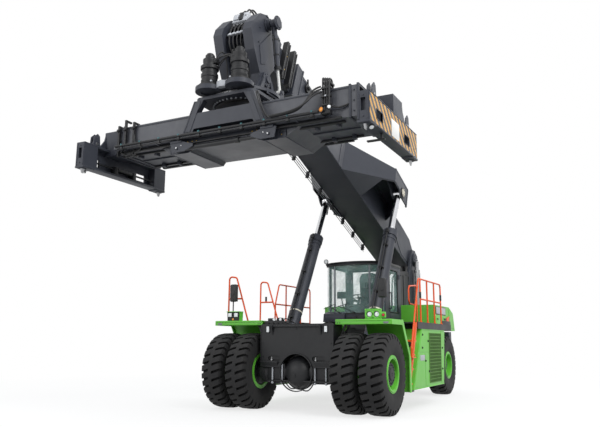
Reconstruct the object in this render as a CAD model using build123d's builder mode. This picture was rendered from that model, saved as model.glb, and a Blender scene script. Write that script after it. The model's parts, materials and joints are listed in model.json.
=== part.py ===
from build123d import *
import os
from math import atan2, cos, degrees, hypot, radians, sin

# Reach stacker for loaded containers, standing with its boom in and part raised.
# Frame: +X ahead, +Y to the machine's left, +Z up, in millimetres. The origin is on the ground,
# under the middle of the machine's outline. "ahead(d)" is the X place d ahead of the front axle.

# ---------------------------------------------------------------- driving sizes
WHEELBASE = 6000
LOAD_AHEAD = 2520  # load centre ahead of the front axle, with the boom in
CONTAINER_WIDTH = 2438
TAIL_BEHIND = 7700  # end of the tow clevis behind the front axle
FRAME_HALF = 340  # half the width over the two frame rails
DECK_Z = 1877  # top of the fenders and walkways
DECK_HALF = 2080  # half the machine's width at deck height
RUNNING = 0.3  # gap between faces that slide or turn on each other
PIN_FIT = 0.1  # radial clearance of a pin in its bore

TYRE_R = 807
TYRE_WIDTH = 500
RIM_R = 320
INNER_TYRE_Y = 1208
OUTER_TYRE_Y = 1800
REAR_TYRE_Y = 1375
KINGPIN_Y = 1020

BOOM_ANGLE = 20.2  # boom above the level, as it stands
PIVOT_BEHIND = 6500  # boom pivot behind the front axle
PIVOT_Z = 3900
BASE_LENGTH = 8300  # from the boom pivot to the mouth of the base boom
BASE_HALF = 420
BASE_BOTTOM = -330  # below the boom line
BASE_TOP_REAR = 600  # above the boom line
BASE_TOP_FRONT = 420
BOOM_WALL = 30
BOOM_EXTEND = 6200  # how far the inner boom slides out
BOOM_OVERLAP = 1200  # of the inner boom, left inside when it is out
INNER_HALF = 372
INNER_TOP = 372
INNER_TAIL = BASE_LENGTH - BOOM_EXTEND - BOOM_OVERLAP
INNER_END = 9000
PAD = 10  # slide pad between the two booms

LIFT_Y = 1040  # lift cylinders' distance from the centre plane
LIFT_FOOT_BEHIND = 1100
LIFT_FOOT_Z = 1100
LIFT_EYE_S = 3270  # lift eye along the boom from the pivot
LIFT_EYE_N = 300  # lift eye above the boom line
LIFT_BARREL_R = 160
LIFT_ROD_R = 82
LIFT_BARREL_LENGTH = 3560
LIFT_EYE_R = 185  # foot eye of a lift cylinder
ROD_EYE_R = 140
EYE_HALF = 90  # half the width of a lift cylinder's eye
CHEEK = 30  # plate on each side of an eye
CHEEK_GAP = 6

TIP_AHEAD = LOAD_AHEAD  # rotator's hanging pin, over the load centre
TIP_Z = 6300
TIP_PIN_R = 90

TWISTLOCK_PITCH_Y = 5853
TWISTLOCK_PITCH_X = 2259
TWISTLOCK_TIP_Z = 4608
SPREADER_BOTTOM_Z = 4730
BEAM_TOP_Z = 5630
ARM_TRAVEL = 3066  # each arm, from the 20 ft to the 40 ft position
SIDE_SHIFT = 800

FRONT_X = (TAIL_BEHIND - LOAD_AHEAD - CONTAINER_WIDTH / 2) / 2
REAR_X = FRONT_X - WHEELBASE
LOAD_X = FRONT_X + LOAD_AHEAD
PIVOT_X = FRONT_X - PIVOT_BEHIND
SIDES = (("left", 1), ("right", -1))

os.makedirs("parts", exist_ok=True)
pieces = []


def ahead(d):
    """The X place that is d ahead of the front axle."""
    return FRONT_X + d


def keep(builder, name):
    """Label a finished piece and put it on the list to write."""
    builder.part.label = name
    pieces.append(builder.part)


def block(x, y, z, mode=Mode.ADD):
    """A box between three (low, high) pairs."""
    middle = Vector(*[(low + high) / 2 for low, high in (x, y, z)])
    with Locations(middle):
        Box(x[1] - x[0], y[1] - y[0], z[1] - z[0], mode=mode)


def side_plane(y, x=0, z=0):
    """A sketch plane in the XZ plane at y: right is +X, up is +Z, and its normal is -Y."""
    return Plane(origin=(x, y, z), x_dir=(1, 0, 0), z_dir=(0, -1, 0))


def front_plane(x):
    """A sketch plane across the machine at x: right is +Y, up is +Z, and its normal is +X."""
    return Plane(origin=(x, 0, 0), x_dir=(0, 1, 0), z_dir=(1, 0, 0))


def boom_plane(y):
    """A sketch plane along the boom at y: right runs along the boom from its pivot, up is above it."""
    rise = radians(BOOM_ANGLE)
    return Plane(origin=(PIVOT_X, y, PIVOT_Z), x_dir=(cos(rise), 0, sin(rise)), z_dir=(0, -1, 0))


def slab(plane, points, thickness, mode=Mode.ADD):
    """A plate of a polygon outline, half its thickness on each side of the plane."""
    with BuildSketch(plane) as outline:
        with BuildLine():
            Polyline(*points, close=True)
        make_face()
    extrude(outline.sketch, amount=thickness / 2, both=True, mode=mode)


def disc(plane, at, radius, thickness, mode=Mode.ADD):
    """A round plate or bore, half its thickness on each side of the plane."""
    with BuildSketch(plane) as outline:
        with Locations(at):
            Circle(radius)
    extrude(outline.sketch, amount=thickness / 2, both=True, mode=mode)


def turned(plane, axis, points, mode=Mode.ADD):
    """A solid turned round an axis from a closed outline."""
    with BuildSketch(plane) as outline:
        with BuildLine():
            Polyline(*points, close=True)
        make_face()
    revolve(outline.sketch, axis=axis, mode=mode)


def pipe(points, radius, bend):
    """A round tube, drawn solid, along points, with each corner bent to a radius."""
    with BuildLine() as path:
        if len(points) > 2:
            FilletPolyline(*points, radius=bend)
        else:
            Line(*points)
    with BuildSketch(Plane(origin=path.line @ 0, z_dir=path.line % 0)) as section:
        Circle(radius)
    sweep(section.sketch, path=path.line)


def boom_point(s, n):
    """The X and Z of a point s along the boom from its pivot and n above the boom line."""
    rise = radians(BOOM_ANGLE)
    return PIVOT_X + s * cos(rise) - n * sin(rise), PIVOT_Z + s * sin(rise) + n * cos(rise)


# ---------------------------------------------------------------- main frame and axles
RAIL_WIDTH = 80
RAIL_TOP = 1700
RAIL_BOTTOM = 700
AXLE_SEAT_Z = 1060
REAR_ARCH_Z = 1010
FRONT_FACE = 240  # frame's front end, ahead of the front axle
RAIL_END = 7100
LIFT_SHAFT_R = 80
LIFT_SHAFT_HALF = LIFT_Y + EYE_HALF + CHEEK_GAP + CHEEK
LIFT_FOOT_X = ahead(-LIFT_FOOT_BEHIND)
ARM_SHOULDER = 850  # the lift arm's full outline ends here, then a round boss

rail_outline = (
    (ahead(FRONT_FACE), AXLE_SEAT_Z),
    (ahead(FRONT_FACE), RAIL_TOP),
    (ahead(-RAIL_END), RAIL_TOP),
    (ahead(-RAIL_END), REAR_ARCH_Z),
    (ahead(-5000), REAR_ARCH_Z),
    (ahead(-4700), RAIL_BOTTOM),
    (ahead(-700), RAIL_BOTTOM),
    (ahead(-400), AXLE_SEAT_Z),
)
with BuildPart() as main_frame:
    for _, sign in SIDES:
        slab(side_plane(sign * (FRAME_HALF - RAIL_WIDTH / 2)), rail_outline, RAIL_WIDTH)
    inside = FRAME_HALF - RAIL_WIDTH
    # cross members: (from, to) behind the front axle, and their heights
    for start, end, low, high in (
        (-FRONT_FACE, 60 - FRONT_FACE, 1250, RAIL_TOP),
        (1000, 1200, RAIL_BOTTOM, 1300),
        (2600, 2700, RAIL_BOTTOM, RAIL_TOP),
        (4450, 4550, RAIL_BOTTOM, RAIL_TOP),
        (5700, 6300, REAR_ARCH_Z, 1300),
        (RAIL_END - 60, RAIL_END, REAR_ARCH_Z, RAIL_TOP),
    ):
        block((ahead(-end), ahead(-start)), (-inside, inside), (low, high))
    # deck between the rails, ahead of the cab
    block((ahead(-4500), ahead(FRONT_FACE)), (-FRAME_HALF, FRAME_HALF), (RAIL_TOP, RAIL_TOP + 40))
    for _, sign in SIDES:
        # seat of the drive axle and the arm that carries the lift cylinder's foot
        y = sorted((sign * inside, sign * 700))
        block((ahead(-260), ahead(FRONT_FACE)), y, (AXLE_SEAT_Z, AXLE_SEAT_Z + 90))
        arm_outline = (
            (ahead(-LIFT_FOOT_BEHIND + 190), LIFT_FOOT_Z - 150),
            (ahead(-LIFT_FOOT_BEHIND + 190), LIFT_FOOT_Z + 190),
            (ahead(-LIFT_FOOT_BEHIND - 260), LIFT_FOOT_Z + 250),
            (ahead(-LIFT_FOOT_BEHIND - 420), LIFT_FOOT_Z - 150),
        )
        arm_end = LIFT_Y - EYE_HALF - CHEEK_GAP
        slab(side_plane(sign * (inside + ARM_SHOULDER) / 2), arm_outline, ARM_SHOULDER - inside)
        neck = arm_end - ARM_SHOULDER
        disc(side_plane(sign * (arm_end - neck / 2)), (LIFT_FOOT_X, LIFT_FOOT_Z), 150, neck)
        disc(side_plane(sign * (LIFT_SHAFT_HALF - CHEEK / 2)), (LIFT_FOOT_X, LIFT_FOOT_Z), 150, CHEEK)
    disc(side_plane(0), (LIFT_FOOT_X, LIFT_FOOT_Z), LIFT_SHAFT_R, 2 * LIFT_SHAFT_HALF)
keep(main_frame, "main_frame")

AXLE_TUBE_R = 210
DRUM_R = 235
DOME_R = 340
SPINDLE_R = 150
SPINDLE_END = 1500
with BuildPart() as front_axle:
    axle_line = Axis((FRONT_X, 0, TYRE_R), (0, 1, 0))
    turned(
        front_plane(FRONT_X),
        axle_line,
        (
            (-SPINDLE_END, TYRE_R),
            (-SPINDLE_END, TYRE_R + SPINDLE_R),
            (-920, TYRE_R + SPINDLE_R),
            (-900, TYRE_R + DRUM_R),
            (-760, TYRE_R + DRUM_R),
            (-720, TYRE_R + AXLE_TUBE_R),
            (720, TYRE_R + AXLE_TUBE_R),
            (760, TYRE_R + DRUM_R),
            (900, TYRE_R + DRUM_R),
            (920, TYRE_R + SPINDLE_R),
            (SPINDLE_END, TYRE_R + SPINDLE_R),
            (SPINDLE_END, TYRE_R),
        ),
    )
    with Locations((ahead(20), 0, TYRE_R)):
        Sphere(DOME_R)
    # gearbox side of the final drive, and the saddles under the frame's seat
    with BuildSketch(Plane(origin=(ahead(-200), 0, TYRE_R), z_dir=(-1, 0, 0))):
        Circle(240)
    extrude(amount=420)
    for _, sign in SIDES:
        y = sorted((sign * 380, sign * 680))
        block((ahead(-170), ahead(170)), y, (TYRE_R - 235, AXLE_SEAT_Z))
keep(front_axle, "front_axle")

BUMPER_HALF = 861
BUMPER_TOP = 1800
BUMPER_BOTTOM = 905
ARCH_R = 375
with BuildPart() as front_bumper:
    with BuildSketch(front_plane(ahead(FRONT_FACE))):
        with BuildLine():
            Polyline(
                (-BUMPER_HALF, BUMPER_BOTTOM + 30),
                (-BUMPER_HALF, BUMPER_TOP - 25),
                (-BUMPER_HALF + 25, BUMPER_TOP),
                (BUMPER_HALF - 25, BUMPER_TOP),
                (BUMPER_HALF, BUMPER_TOP - 25),
                (BUMPER_HALF, BUMPER_BOTTOM + 30),
                (BUMPER_HALF - 60, BUMPER_BOTTOM),
                (-BUMPER_HALF + 60, BUMPER_BOTTOM),
                close=True,
            )
        make_face()
        with Locations((0, TYRE_R)):
            Circle(ARCH_R, mode=Mode.SUBTRACT)
        with Locations((-520, 1085), (520, 1085)):
            SlotOverall(300, 100, mode=Mode.SUBTRACT)
        with Locations((-684, 1690), (684, 1690)):
            Rectangle(64, 120, mode=Mode.SUBTRACT)
    extrude(amount=30)
    # side cheeks back to the axle seat
    for _, sign in SIDES:
        y = sorted((sign * BUMPER_HALF, sign * (BUMPER_HALF - 30)))
        block((ahead(-260), ahead(FRONT_FACE)), y, (1050, BUMPER_TOP - 25))
    pipe([(ahead(FRONT_FACE + 48), -560, 1752), (ahead(FRONT_FACE + 48), 560, 1752)], 22, 0)
keep(front_bumper, "front_bumper")

with BuildPart() as headlamps:
    for _, sign in SIDES:
        with BuildSketch(front_plane(ahead(FRONT_FACE))):
            with Locations((sign * 684, 1690)):
                Rectangle(63, 119)
        extrude(amount=42)
keep(headlamps, "headlamps")

# rear steering axle: a box beam with a forked end round each kingpin
BEAM_HALF = 95
FORK_GAP_HALF = 150
KINGPIN_R = 60
with BuildPart() as rear_axle:
    slab(
        Plane(origin=(REAR_X, 0, 0), x_dir=(0, 1, 0), z_dir=(1, 0, 0)),
        (
            (-700, TYRE_R - 170),
            (-420, TYRE_R - 200),
            (420, TYRE_R - 200),
            (700, TYRE_R - 170),
            (700, TYRE_R + 170),
            (300, REAR_ARCH_Z),
            (-300, REAR_ARCH_Z),
            (-700, TYRE_R + 170),
        ),
        2 * 150,
    )
    for _, sign in SIDES:
        for level in (-1, 1):
            z = sorted((TYRE_R + level * FORK_GAP_HALF, TYRE_R + level * (FORK_GAP_HALF + 60)))
            block((REAR_X - BEAM_HALF, REAR_X + BEAM_HALF), sorted((sign * 640, sign * KINGPIN_Y)), z)
            with Locations((REAR_X, sign * KINGPIN_Y, sum(z) / 2)):
                Cylinder(BEAM_HALF, 60)
        with Locations((REAR_X, sign * KINGPIN_Y, TYRE_R)):
            Cylinder(KINGPIN_R, 2 * FORK_GAP_HALF)
keep(rear_axle, "rear_axle")

# ---------------------------------------------------------------- wheels
RIM_SKIN = 22
FLANGE_R = 372
BEAD_HALF = 215
DISC = 36
HUB_R = 205
HUB_DISC_Y = 1540


def tyre(x, y):
    """One tyre with a round shoulder, its middle at y."""
    half = TYRE_WIDTH / 2
    with BuildSketch(front_plane(x)) as section:
        with BuildLine():
            corners = []
            for side in (-1, 1):
                bead = (y + side * (BEAD_HALF - 15), TYRE_R + RIM_R + RUNNING)
                heel = (y + side * (BEAD_HALF - 15), TYRE_R + FLANGE_R)
                belly = (y + side * half, TYRE_R + 0.68 * TYRE_R)
                shoulder = (y + side * (half - 22), TYRE_R + 0.93 * TYRE_R)
                crown = (y + side * (half - 70), 2 * TYRE_R - 6)
                Line(bead, heel)
                ThreePointArc(heel, belly, shoulder)
                Line(shoulder, crown)
                corners.append((bead, crown))
            ThreePointArc(corners[0][1], (y, 2 * TYRE_R), corners[1][1])
            Line(corners[0][0], corners[1][0])
        make_face()
    revolve(section.sketch, axis=Axis((x, 0, TYRE_R), (0, 1, 0)))


def rim(x, y):
    """A rim barrel with its two flanges, its middle at y."""
    base = TYRE_R + RIM_R
    turned(
        front_plane(x),
        Axis((x, 0, TYRE_R), (0, 1, 0)),
        (
            (y - BEAD_HALF, base - RIM_SKIN),
            (y - BEAD_HALF, TYRE_R + FLANGE_R),
            (y - BEAD_HALF + 15, TYRE_R + FLANGE_R),
            (y - BEAD_HALF + 15, base),
            (y + BEAD_HALF - 15, base),
            (y + BEAD_HALF - 15, TYRE_R + FLANGE_R),
            (y + BEAD_HALF, TYRE_R + FLANGE_R),
            (y + BEAD_HALF, base - RIM_SKIN),
        ),
    )


def ring(x, y, outer, inner, thickness):
    """A flat ring round the wheel's axis, its middle at y."""
    with BuildSketch(side_plane(y)) as outline:
        with Locations((x, TYRE_R)):
            Circle(outer)
            Circle(inner, mode=Mode.SUBTRACT)
    extrude(outline.sketch, amount=thickness / 2, both=True)


for side, sign in SIDES:
    with BuildPart() as front_tyres:
        tyre(FRONT_X, sign * INNER_TYRE_Y)
        tyre(FRONT_X, sign * OUTER_TYRE_Y)
    keep(front_tyres, f"{side}_front_tyres")

    with BuildPart() as front_rims:
        rim(FRONT_X, sign * INNER_TYRE_Y)
        rim(FRONT_X, sign * OUTER_TYRE_Y)
        # spacer band between the twin rims, and the wheel disc
        band = OUTER_TYRE_Y - INNER_TYRE_Y - 2 * BEAD_HALF
        middle = (OUTER_TYRE_Y + INNER_TYRE_Y) / 2
        ring(FRONT_X, sign * middle, RIM_R, RIM_R - RIM_SKIN, band)
        ring(FRONT_X, sign * HUB_DISC_Y, RIM_R - RIM_SKIN / 2, SPINDLE_R + 20, DISC)
    keep(front_rims, f"{side}_front_rims")

    with BuildPart() as hub:
        # planetary hub: a drum on the spindle, with its flange against the disc
        inner_face = HUB_DISC_Y - DISC / 2
        turned(
            front_plane(FRONT_X),
            Axis((FRONT_X, 0, TYRE_R), (0, 1, 0)),
            [
                (sign * y, TYRE_R + r)
                for y, r in (
                    (1000, SPINDLE_R + RUNNING),
                    (1000, SPINDLE_R + 60),
                    (inner_face - 40, SPINDLE_R + 60),
                    (inner_face - 40, HUB_R + 45),
                    (inner_face, HUB_R + 45),
                    (inner_face, SPINDLE_R + 20),
                    (HUB_DISC_Y + DISC / 2, SPINDLE_R + 20),
                    (HUB_DISC_Y + DISC / 2, HUB_R),
                    (HUB_DISC_Y + 150, HUB_R),
                    (HUB_DISC_Y + 175, HUB_R - 25),
                    (HUB_DISC_Y + 175, 0),
                    (SPINDLE_END + 5, 0),
                    (SPINDLE_END + 5, SPINDLE_R + RUNNING),
                )
            ],
        )
    keep(hub, f"{side}_front_hub")

    with BuildPart() as rear_tyre:
        tyre(REAR_X, sign * REAR_TYRE_Y)
    keep(rear_tyre, f"{side}_rear_tyre")

    disc_y = REAR_TYRE_Y + 30
    with BuildPart() as rear_rim:
        rim(REAR_X, sign * REAR_TYRE_Y)
        turned(
            front_plane(REAR_X),
            Axis((REAR_X, 0, TYRE_R), (0, 1, 0)),
            [
                (sign * y, TYRE_R + r)
                for y, r in (
                    (disc_y - DISC, RIM_R - RIM_SKIN),
                    (disc_y - DISC, 130),
                    (disc_y - 150, 130),
                    (disc_y - 150, 80 + RUNNING),
                    (disc_y + 60, 80 + RUNNING),
                    (disc_y + 60, 0),
                    (disc_y + 90, 0),
                    (disc_y + 90, 130),
                    (disc_y, 150),
                    (disc_y, RIM_R - RIM_SKIN),
                )
            ],
        )
    keep(rear_rim, f"{side}_rear_rim")

    with BuildPart() as knuckle:
        with Locations((REAR_X, sign * KINGPIN_Y, TYRE_R)):
            Cylinder(BEAM_HALF, 2 * FORK_GAP_HALF - 2)
            Cylinder(KINGPIN_R + PIN_FIT, 2 * FORK_GAP_HALF, mode=Mode.SUBTRACT)
        spindle = sorted((sign * (KINGPIN_Y + 70), sign * (disc_y + 55)))
        with BuildSketch(side_plane(spindle[1])):
            with Locations((REAR_X, TYRE_R)):
                Circle(80)
        extrude(amount=spindle[1] - spindle[0])
        # steering arm, back from the kingpin
        block(
            (REAR_X - 330, REAR_X - 80),
            sorted((sign * (KINGPIN_Y - 40), sign * (KINGPIN_Y + 40))),
            (TYRE_R - 40, TYRE_R + 40),
        )
    keep(knuckle, f"{side}_knuckle")

# ---------------------------------------------------------------- fenders, walkways, steps, rails
FENDER_INNER = 870
FENDER_FRONT = 200
FENDER_BACK = 500
GUARD_BEHIND = 960
GUARD_FOOT = 410
LIP = 80
PLATE = 30
NOTCH_Y = LIFT_Y + LIFT_BARREL_R + 60
fender_outline = (
    (ahead(FENDER_FRONT), DECK_Z),
    (ahead(-FENDER_BACK), DECK_Z),
    (ahead(-GUARD_BEHIND), 1100),
    (ahead(-GUARD_BEHIND), GUARD_FOOT),
    (ahead(-GUARD_BEHIND + PLATE), GUARD_FOOT),
    (ahead(-GUARD_BEHIND + PLATE), 1100),
    (ahead(-FENDER_BACK + PLATE), DECK_Z - PLATE),
    (ahead(FENDER_FRONT - PLATE), DECK_Z - PLATE),
    (ahead(FENDER_FRONT - PLATE), DECK_Z - LIP),
    (ahead(FENDER_FRONT), DECK_Z - LIP),
)
for side, sign in SIDES:
    with BuildPart() as fender:
        middle = sign * (FENDER_INNER + DECK_HALF) / 2
        slab(side_plane(middle), fender_outline, DECK_HALF - FENDER_INNER)
        # room for the lift cylinder behind the deck
        notch = sorted((sign * (FENDER_INNER - 10), sign * NOTCH_Y))
        block((ahead(-1100), ahead(-FENDER_BACK)), notch, (300, DECK_Z + 10), mode=Mode.SUBTRACT)
        # rib down the outer edge
        slab(
            side_plane(sign * (DECK_HALF - 10)),
            (
                (ahead(FENDER_FRONT - PLATE), DECK_Z - LIP),
                (ahead(FENDER_FRONT - PLATE), DECK_Z - PLATE / 2),
                (ahead(-FENDER_BACK), DECK_Z - PLATE / 2),
                (ahead(-GUARD_BEHIND + 10), 1100),
                (ahead(-GUARD_BEHIND + 10), GUARD_FOOT),
                (ahead(-GUARD_BEHIND + 75), GUARD_FOOT),
                (ahead(-GUARD_BEHIND + 75), 1115),
                (ahead(-FENDER_BACK + 45), DECK_Z - LIP),
            ),
            20,
        )
        # stay from the bumper's cheek to the fender
        y = sorted((sign * BUMPER_HALF, sign * (FENDER_INNER + 60)))
        block((ahead(-240), ahead(-160)), y, (DECK_Z - 220, DECK_Z - PLATE))
    keep(fender, f"{side}_fender")

WALK_FRONT = 1620
WALK_REAR = 4560
WALK_FRONT_INNER = 2150  # the walkway starts here beside the lift cylinder
CAB_HALF = 780
SKIRT = 150
with BuildPart() as walkways:
    for _, sign in SIDES:
        with BuildSketch(Plane.XY.offset(DECK_Z)):
            with BuildLine():
                Polyline(
                    (ahead(-WALK_FRONT), sign * NOTCH_Y),
                    (ahead(-WALK_FRONT), sign * (DECK_HALF - 20)),
                    (ahead(-WALK_REAR), sign * (DECK_HALF - 20)),
                    (ahead(-WALK_REAR), sign * FRAME_HALF),
                    (ahead(-WALK_FRONT_INNER), sign * FRAME_HALF),
                    (ahead(-WALK_FRONT_INNER), sign * NOTCH_Y),
                    close=True,
                )
            make_face()
        extrude(amount=-PLATE)
        # outer skirt, and joists from the frame
        y = sorted((sign * (DECK_HALF - 20), sign * (DECK_HALF - 60)))
        block((ahead(-WALK_REAR), ahead(-WALK_FRONT)), y, (DECK_Z - SKIRT, DECK_Z - PLATE))
        for start in (WALK_FRONT_INNER, 2900, 3700, WALK_REAR - 60):
            y = sorted((sign * FRAME_HALF, sign * (DECK_HALF - 60)))
            block((ahead(-start - 60), ahead(-start)), y, (DECK_Z - SKIRT, DECK_Z - PLATE))
keep(walkways, "walkways")

STEP_OUTER = 2030
STEP_INNER = 1500
STEP_FOOT = 1030
RAIL_FOOT = 1180  # the slanted rail starts on a tab here
RAIL_FOOT_Z = 1120
with BuildPart() as steps:
    for _, sign in SIDES:
        for y in (STEP_INNER, STEP_OUTER):
            slab(
                side_plane(sign * y),
                (
                    (ahead(-STEP_FOOT), 480),
                    (ahead(-WALK_FRONT + RUNNING), DECK_Z - 60),
                    (ahead(-WALK_FRONT + RUNNING), DECK_Z - 10),
                    (ahead(-WALK_FRONT + 90), DECK_Z - 10),
                    (ahead(-STEP_FOOT), 620),
                ),
                30,
            )
        for number in range(4):
            z = 560 + number * 300
            x = -STEP_FOOT - 40 - (z - 550) * (WALK_FRONT - STEP_FOOT - 45) / (DECK_Z - 550)
            y = sorted((sign * STEP_INNER, sign * STEP_OUTER))
            block((ahead(x - 130), ahead(x + 40)), y, (z - 15, z + 15))
        # tab under the slanted grab rail
        y = sorted((sign * (STEP_OUTER - 15), sign * (STEP_OUTER + 35)))
        block((ahead(-1400), ahead(-RAIL_FOOT + 40)), y, (RAIL_FOOT_Z - 20, RAIL_FOOT_Z))
keep(steps, "steps")

RAIL_R = 19
RAIL_BEND = 90
RAIL_Y = DECK_HALF - 45
FOOT_TOP = DECK_Z + 6  # pipes start inside their foot plates
FOOT_PLATE = 10
# guard rails in a plane along the machine: y, then posts and bars as (behind, height) runs
left_runs = (
    (
        (WALK_FRONT + 330, FOOT_TOP),
        (WALK_FRONT + 330, 2860),
        (WALK_REAR - 860, 2860),
        (WALK_REAR - 860, FOOT_TOP),
    ),
    ((WALK_FRONT + 330, 2400), (WALK_REAR - 860, 2400)),
    ((2500, FOOT_TOP), (2500, 2860)),
    ((3100, FOOT_TOP), (3100, 2860)),
    ((RAIL_FOOT, RAIL_FOOT_Z), (RAIL_FOOT, 1300), (1820, 2860), (WALK_FRONT + 330, 2860)),
)
right_runs = (
    ((2430, FOOT_TOP), (2440, 2400), (2640, 2930), (4500, 2930), (4500, FOOT_TOP)),
    ((2440, 2400), (4500, 2400)),
    ((3030, FOOT_TOP), (3030, 2930)),
    ((3900, FOOT_TOP), (3900, 2930)),
)
hoop = ((2035, FOOT_TOP), (2030, 2920), (1830, 2890), (1500, FOOT_TOP))


def rail_foot(x, y):
    """The round plate that a post stands on."""
    with Locations((x, y, DECK_Z + FOOT_PLATE / 2)):
        Cylinder(38, FOOT_PLATE)


with BuildPart() as handrails:
    for y, runs in ((RAIL_Y, left_runs), (-RAIL_Y, right_runs)):
        for run in runs:
            pipe([(ahead(-behind), y, z) for behind, z in run], RAIL_R, RAIL_BEND)
            for behind, z in (run[0], run[-1]):
                if z == FOOT_TOP:
                    rail_foot(ahead(-behind), y)
    # two hoops across the right side, before and behind the steps
    for behind in (FENDER_BACK - 270, WALK_FRONT + 50):
        pipe([(ahead(-behind), -y, z) for y, z in hoop], RAIL_R, 70)
        pipe([(ahead(-behind), -2035, 2400), (ahead(-behind), -1690, 2400)], RAIL_R, 0)
        for y, _ in (hoop[0], hoop[-1]):
            rail_foot(ahead(-behind), -y)
keep(handrails, "handrails")

LIGHT_BOX = ((20, 160), (1490, 1820), (DECK_Z, 2090))
with BuildPart() as light_boxes:
    for _, sign in SIDES:
        (x0, x1), (y0, y1), (z0, z1) = LIGHT_BOX
        block((ahead(x0), ahead(x1)), sorted((sign * y0, sign * y1)), (z0, z1))
        for y in (y0 + 85, y1 - 85):
            block(
                (ahead(x1 - 30), ahead(x1 + 10)),
                sorted((sign * (y - 60), sign * (y + 60))),
                (z1 - 150, z1 - 30),
                mode=Mode.SUBTRACT,
            )
keep(light_boxes, "light_boxes")

MIRROR_Y = 1800
with BuildPart() as mirrors:
    for _, sign in SIDES:
        y = sign * MIRROR_Y
        pipe([(ahead(-60), y, DECK_Z), (ahead(-60), y, 2400)], 16, 0)
        with BuildSketch(front_plane(ahead(-75))):
            with Locations((y, 2520)):
                RectangleRounded(180, 400, 60)
        extrude(amount=45, both=True)
keep(mirrors, "mirrors")

# ---------------------------------------------------------------- side boxes, hood, tail
BOX_INNER = 1260
BOX_OUTER = 2050
BOX_TOP = DECK_Z - SKIRT
box_outline = (
    (ahead(-1900), BOX_TOP),
    (ahead(-3910), BOX_TOP),
    (ahead(-3700), 430),
    (ahead(-1190), 430),
)
for side, sign in SIDES:
    with BuildPart() as side_box:
        middle = sign * (BOX_INNER + BOX_OUTER) / 2
        slab(side_plane(middle), box_outline, BOX_OUTER - BOX_INNER)
        # hanger from the frame rail
        y = sorted((sign * FRAME_HALF, sign * BOX_INNER))
        for behind in (2300, 3500):
            block((ahead(-behind - 90), ahead(-behind)), y, (900, 1100))
    keep(side_box, f"{side}_side_box")

HOOD_HALF = 1620
HOOD_FRONT = 4640
HOOD_REAR = 6760
HOOD_TOP = 2420
HOOD_FOOT = 1760
HOOD_WALL = 40
TOWER_FRONT = 5480
TOWER_HALF = 535
hood_outline = (
    (ahead(-HOOD_FRONT), HOOD_FOOT),
    (ahead(-HOOD_FRONT), HOOD_TOP),
    (ahead(-6150), HOOD_TOP),
    (ahead(-6600), 2260),
    (ahead(-HOOD_REAR), HOOD_FOOT),
)
with BuildPart() as engine_hood:
    slab(side_plane(0), hood_outline, 2 * HOOD_HALF)
    slab(
        side_plane(0),
        (
            (ahead(-HOOD_FRONT - HOOD_WALL), HOOD_FOOT - 1),
            (ahead(-HOOD_FRONT - HOOD_WALL), HOOD_TOP - HOOD_WALL),
            (ahead(-6140), HOOD_TOP - HOOD_WALL),
            (ahead(-6560), 2230),
            (ahead(-HOOD_REAR + HOOD_WALL + 10), HOOD_FOOT - 1),
        ),
        2 * (HOOD_HALF - HOOD_WALL),
        mode=Mode.SUBTRACT,
    )
    # slot for the boom's tower
    slot = TOWER_HALF + 8
    tower_bay = (ahead(-HOOD_REAR - 10), ahead(-TOWER_FRONT + 8))
    block(tower_bay, (-slot, slot), (HOOD_FOOT - 10, HOOD_TOP + 10), mode=Mode.SUBTRACT)
    # ledge that rests on the frame
    block((ahead(-HOOD_FRONT - 200), ahead(-HOOD_FRONT)), (-FRAME_HALF, FRAME_HALF), (RAIL_TOP, HOOD_FOOT))
    for _, sign in SIDES:
        y = sorted((sign * 560, sign * (HOOD_HALF - 5)))
        block((ahead(-TOWER_FRONT - 300), ahead(-TOWER_FRONT - 200)), y, (HOOD_FOOT - 10, HOOD_FOOT + 40))
keep(engine_hood, "engine_hood")

with BuildPart() as engine_block:
    block((ahead(-5350), ahead(-HOOD_FRONT - 250)), (-250, 250), (1150, 2150))
    block((ahead(-5300), ahead(-HOOD_FRONT - 300)), (-FRAME_HALF, FRAME_HALF), (RAIL_TOP, RAIL_TOP + 120))
keep(engine_block, "engine_block")

CW_FRONT = RAIL_END
CW_HALF = 1350
TOW_R = 30
TOW_PLATE = 40
TOW_Z = 900  # underside of the lower ear
TOW_HEIGHT = 220  # over both ears
TOW_BEHIND = 7620
CW_REAR = 7540
with BuildPart() as counterweight:
    block((ahead(-CW_REAR), ahead(-CW_FRONT)), (-CW_HALF, CW_HALF), (760, 1740))
    fillet(counterweight.edges().filter_by(Axis.Z).sort_by(Axis.X)[:2], radius=170)
    # tow clevis: two ears that a pin drops through
    for z in (TOW_Z, TOW_Z + TOW_HEIGHT - TOW_PLATE):
        with BuildSketch(Plane.XY.offset(z)):
            with BuildLine():
                Polyline(
                    (ahead(-CW_REAR + 40), -110),
                    (ahead(-CW_REAR + 40), 110),
                    (ahead(-TAIL_BEHIND + 60), 110),
                    (ahead(-TAIL_BEHIND), 50),
                    (ahead(-TAIL_BEHIND), -50),
                    (ahead(-TAIL_BEHIND + 60), -110),
                    close=True,
                )
            make_face()
        extrude(amount=TOW_PLATE)
    with Locations((ahead(-TOW_BEHIND), 0, TOW_Z + TOW_HEIGHT / 2)):
        Cylinder(TOW_R, 2 * TOW_HEIGHT, mode=Mode.SUBTRACT)
keep(counterweight, "counterweight")

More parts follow.
